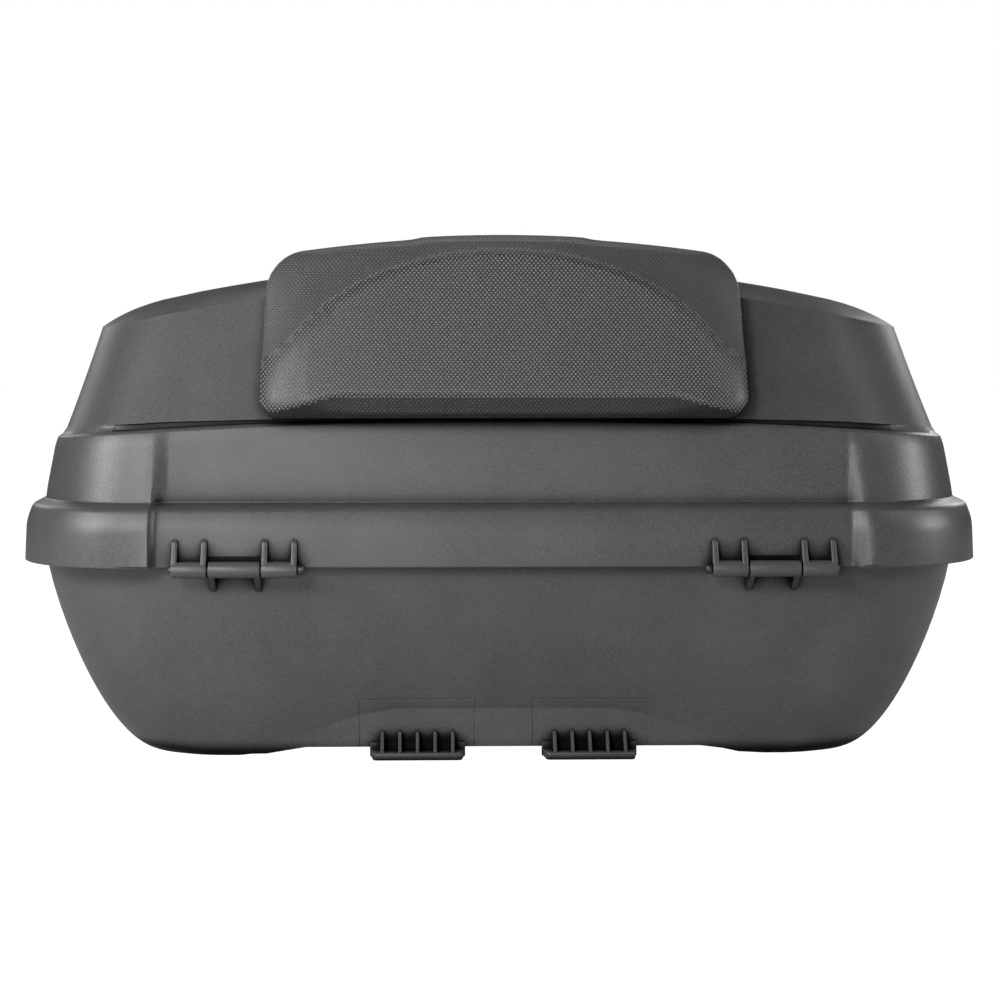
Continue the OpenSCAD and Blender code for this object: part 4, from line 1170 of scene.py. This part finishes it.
class TOPCASE_OT_backrest(bpy.types.Operator):
    """Backrest pad: a moulded foam pad with a raised front panel, covered in small dots"""

    bl_idname = "topcase.backrest"
    bl_label = "Backrest pad"

    def execute(self, context):
        outline = pad_outline()
        rings = [[pad_base(x, z, f) for x, z in outline] for f in (0.1, 0.5, 0.9, 0.98)]
        border = [pad_base(x, z, 1) for x, z in outline]
        for share in (0.06, 0.16):
            rings.append([(x, y - share * PAD_T, z) for x, y, z in border])
        steps = [1 - 0.96 * (k / 64) ** 1.5 for k in range(65)]
        rings += [[pad_point(x, z, f) for x, z in outline] for f in steps]
        bm, first, last = loft(rings)
        close_pole(bm, first)
        close_pole(bm, last)
        bmesh.ops.recalc_face_normals(bm, faces=bm.faces[:])
        bmesh.ops.smooth_vert(
            bm,
            verts=[v for v in bm.verts if v.normal.y < 0.2],
            factor=0.4,
            use_axis_x=True,
            use_axis_y=True,
            use_axis_z=True,
        )
        skin = BVHTree.FromBMesh(bm)
        pad = as_object(bm, "backrest_cushion")
        finish_piece(pad, "lid", materials()["pad"], ["backrest_pad"], 60)
        pad.data.materials.append(materials()["pad_border"])
        # The panel's skin takes the dark tone, painted shade between its dots; the border takes the
        # mid tone.
        for face in pad.data.polygons:
            x, _, z = face.center / MM
            face.material_index = int(panel_share(x, z - PAD_Z) < 0.8)
        self.dots(skin)
        return {"FINISHED"}

    def dots(self, skin):
        """Raised dots in staggered rows, each set square on the pad's skin."""
        s = bpy.context.scene.top_case
        pitch, height = s.dot_pitch, s.dot_height
        field, row_step, sunk = bmesh.new(), DOT_ROW * pitch, DOT_SUNK * MM
        rows, columns = int(PAD_H * MM / row_step) + 1, int(2 * PAD_HW * MM / pitch) + 2
        for r in range(rows):
            z, bm = PAD_Z * MM + r * row_step, bmesh.new()
            for c in range(columns):
                x = (c - columns / 2 + 0.5 * (r % 2)) * pitch
                point, normal, _, _ = skin.ray_cast(Vector((x, -1, z)), Vector((0, 1, 0)))
                if point is None or normal.y > -0.34:
                    continue
                h = z / MM - PAD_Z
                share = panel_share(x / MM, h)
                # Dots on the undercut foot take the dark tone as painted shade, dots on the panel
                # the light tone as painted highlight, and dots on the border the mid tone.
                kind = 2 if h < 0.8 * pad_bevel(x / MM) else int(share < 0.7)
                high = height * (0.6 if kind == 2 else lerp(0.5, 1.0, share))
                turn = normal.to_track_quat("Z", "Y").to_matrix().to_4x4()
                made = bmesh.ops.create_cone(
                    bm,
                    cap_ends=True,
                    segments=6,
                    radius1=DOT_FOOT_R * pitch,
                    radius2=DOT_TOP_R * pitch,
                    depth=high + sunk,
                    matrix=Matrix.Translation(point + normal * (high - sunk) / 2) @ turn,
                )
                for face in {f for v in made["verts"] for f in v.link_faces}:
                    face.material_index = kind
            row = bpy.data.meshes.new("dot_row")
            bm.to_mesh(row)
            bm.free()
            field.from_mesh(row)
            bpy.data.meshes.remove(row)
        dots = as_object(field, "backrest_dots")
        # The dots' materials in turn: light tone as painted highlight, mid border tone, dark tone
        # as painted shade.
        finish_piece(dots, "lid", materials()["dots"], (), 75)
        dots.data.materials.append(materials()["pad_border"])
        dots.data.materials.append(materials()["pad"])


# ------------------------------------------------------------------ small pieces


class TOPCASE_OT_backrest_fixings(bpy.types.Operator):
    """Carrier plate, screws and washers that hold the pad on the lid"""

    bl_idname = "topcase.backrest_fixings"
    bl_label = "Backrest fixings"

    def execute(self, context):
        eased_copy("backrest_plate", materials()["black"], 0.5)
        eased_copy("backrest_screws", materials()["steel"], 0.3)
        eased_copy("backrest_washers", materials()["steel"], 0.2)
        return {"FINISHED"}


class TOPCASE_OT_reflectors(bpy.types.Operator):
    """Two red reflectors on the band's lock side"""

    bl_idname = "topcase.reflectors"
    bl_label = "Reflectors"

    def execute(self, context):
        for name in ("reflector_left", "reflector_right"):
            eased_copy(name, materials()["lens"], 0.8, 3)
        return {"FINISHED"}


class TOPCASE_OT_lock(bpy.types.Operator):
    """Cam lock in the lid's hood, and its keeper on the tub's rim"""

    bl_idname = "topcase.lock"
    bl_label = "Cam lock"

    def execute(self, context):
        made = materials()
        for name in ("lock_body", "lock_nut", "lock_barrel"):
            eased_copy(name, made["lock"], 0.25)
        for name in ("lock_cam", "cam_screw", "lock_keeper", "keeper_screws"):
            eased_copy(name, made["steel"], 0.25)
        return {"FINISHED"}


class TOPCASE_OT_plate_release(bpy.types.Operator):
    """Plate release: housing, screws, sliding hook, red button and return spring"""

    bl_idname = "topcase.plate_release"
    bl_label = "Plate release"

    def execute(self, context):
        made = materials()
        eased_copy("release_housing", made["black"], 0.8, 3)
        eased_copy("housing_screws", made["steel"], 0.25)
        eased_copy("plate_catch", made["steel"], 0.5)
        eased_copy("release_button", made["button"], 0.9, 3)
        low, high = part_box("release_spring")
        wire, coils, steps = 0.6 * MM, 5, 28
        mean = (high.x - low.x) / 2 - wire
        middle = Vector((0, low.y + wire, (low.z + high.z) / 2))
        bm = bmesh.new()
        place = Matrix.Translation(middle + Vector((mean, 0, 0)))
        bmesh.ops.create_circle(bm, segments=12, radius=wire, matrix=place, cap_ends=True)
        total = coils * steps
        rise = (high.y - low.y - 2 * wire) / total
        bmesh.ops.spin(
            bm,
            geom=bm.verts[:] + bm.edges[:] + bm.faces[:],
            cent=middle,
            axis=(0, 1, 0),
            dvec=(0, rise, 0),
            angle=2 * math.pi * coils,
            steps=total,
            use_merge=False,
        )
        bmesh.ops.recalc_face_normals(bm, faces=bm.faces[:])
        piece = as_object(bm, "release_spring_wound")
        finish_piece(piece, "base", made["steel"], ["release_spring"], 60)
        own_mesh(piece)
        return {"FINISHED"}


# ------------------------------------------------------------------ stage


# Round soft boxes: name, place, width and power
LIGHTS = (
    ("key_low", (-1.271, -0.834, 0.472), 0.36, 6.0),
    ("key_high", (-1.25, -0.72, 0.722), 0.36, 6.8),
    ("key_front", (-1.034, -1.031, 0.722), 0.36, 4.2),
    ("front_high", (-0.566, -1.371, 0.722), 0.36, 9.6),
    ("front_low", (-0.312, -1.566, 0.212), 0.36, 4.0),
    ("right", (1.46, -0.40, 0.472), 0.36, 8.4),
    ("right_high", (1.031, -0.795, 0.999), 0.36, 1.8),
    ("top", (0.0, 0.55, 1.5), 1.0, 4.0),
    ("back_left", (-1.2, 1.25, 0.95), 0.7, 4.5),
    ("back_right", (1.2, 1.25, 0.95), 0.7, 9.0),
)
LIGHT_AIM = Vector((0, 0, 0.16))
AMBIENT, FLOOR_GLOW, FLOOR_SHARE = 0.04, 1.3, 0.8
# Camera fitted to the photo's outline: place, pitch and yaw in degrees, sensor and lens
CAMERA_AT, CAMERA_PITCH, CAMERA_YAW = (-0.047, -1.6997, 0.2536), 90 - 3.772, -1.70
SENSOR, LENS = 36.0, 91.6


class TOPCASE_OT_stage(bpy.types.Operator):
    """Pale floor, soft studio lights and the camera"""

    bl_idname = "topcase.stage"
    bl_label = "Stage"

    def execute(self, context):
        scene = context.scene
        bm = bmesh.new()
        bmesh.ops.create_grid(bm, x_segments=1, y_segments=1, size=9)
        floor = as_object(bm, "floor")
        material, tree, shader, _ = blank("pale_floor")
        shader.inputs["Base Color"].default_value = linear("#c8c8c8")
        shader.inputs["Roughness"].default_value = 0.9
        # A lit studio sweep: the floor looks white, and lights the case only by what falls on it.
        white = {"Color": (1, 1, 1, 1)}
        glow = add(tree, "Emission", {**white, "Strength": FLOOR_GLOW}).outputs["Emission"]
        seen = add(tree, "LightPath").outputs["Is Camera Ray"]
        share = add(tree, "Math", {1: FLOOR_SHARE}, {0: seen}, operation="MULTIPLY").outputs[0]
        mix = add(tree, "MixShader", links={0: share, 1: shader.outputs["BSDF"], 2: glow})
        tree.links.new(mix.outputs["Shader"], tree.nodes["Material Output"].inputs["Surface"])
        floor.data.materials.append(material)

        world = scene.world or bpy.data.worlds.new("studio")
        scene.world = world
        world.use_nodes = True
        tree = world.node_tree
        tree.nodes.clear()
        soft = add(tree, "Background", {**white, "Strength": AMBIENT}).outputs["Background"]
        plain = add(tree, "Background", {**white, "Strength": 1.0}).outputs["Background"]
        seen = add(tree, "LightPath").outputs["Is Camera Ray"]
        mix = add(tree, "MixShader", links={0: seen, 1: soft, 2: plain})
        add(tree, "OutputWorld", links={"Surface": mix.outputs["Shader"]})

        for name, place, width, power in LIGHTS:
            data = bpy.data.lights.new(name, "AREA")
            data.shape, data.size, data.energy = "DISK", width, power
            light = bpy.data.objects.new(name, data)
            light.location = place
            aim = LIGHT_AIM - Vector(place)
            light.rotation_euler = aim.to_track_quat("-Z", "Y").to_euler()
            light.visible_camera = False
            scene.collection.objects.link(light)

        data = bpy.data.cameras.new("photo_view")
        data.sensor_width, data.lens = SENSOR, LENS
        camera = bpy.data.objects.new("photo_view", data)
        camera.location = CAMERA_AT
        camera.rotation_euler = (math.radians(CAMERA_PITCH), 0, math.radians(CAMERA_YAW))
        scene.collection.objects.link(camera)
        scene.camera = camera
        scene.view_settings.view_transform = "Standard"
        return {"FINISHED"}


class TOPCASE_PT_panel(bpy.types.Panel):
    """Lists the steps that build the top case"""

    bl_idname = "TOPCASE_PT_panel"
    bl_label = "Top Case"
    bl_space_type = "VIEW_3D"
    bl_region_type = "UI"
    bl_category = "Top Case"

    def draw(self, context):
        for name in TopCaseSettings.__annotations__:
            self.layout.prop(context.scene.top_case, name)
        for step in STEPS:
            self.layout.operator(step.bl_idname)


STEPS = (
    TOPCASE_OT_stage,
    TOPCASE_OT_tub,
    TOPCASE_OT_lid,
    TOPCASE_OT_seal,
    TOPCASE_OT_hinge_pins,
    TOPCASE_OT_backrest,
    TOPCASE_OT_backrest_fixings,
    TOPCASE_OT_reflectors,
    TOPCASE_OT_lock,
    TOPCASE_OT_plate_release,
)
CLASSES = (TopCaseSettings, *STEPS, TOPCASE_PT_panel)


def register():
    for cls in CLASSES:
        bpy.utils.register_class(cls)
    bpy.types.Scene.top_case = bpy.props.PointerProperty(type=TopCaseSettings)


def unregister():
    del bpy.types.Scene.top_case
    for cls in reversed(CLASSES):
        bpy.utils.unregister_class(cls)


def main():
    register()
    for step in STEPS:
        group, name = step.bl_idname.split(".")
        getattr(getattr(bpy.ops, group), name)()


if __name__ == "__main__":
    main()
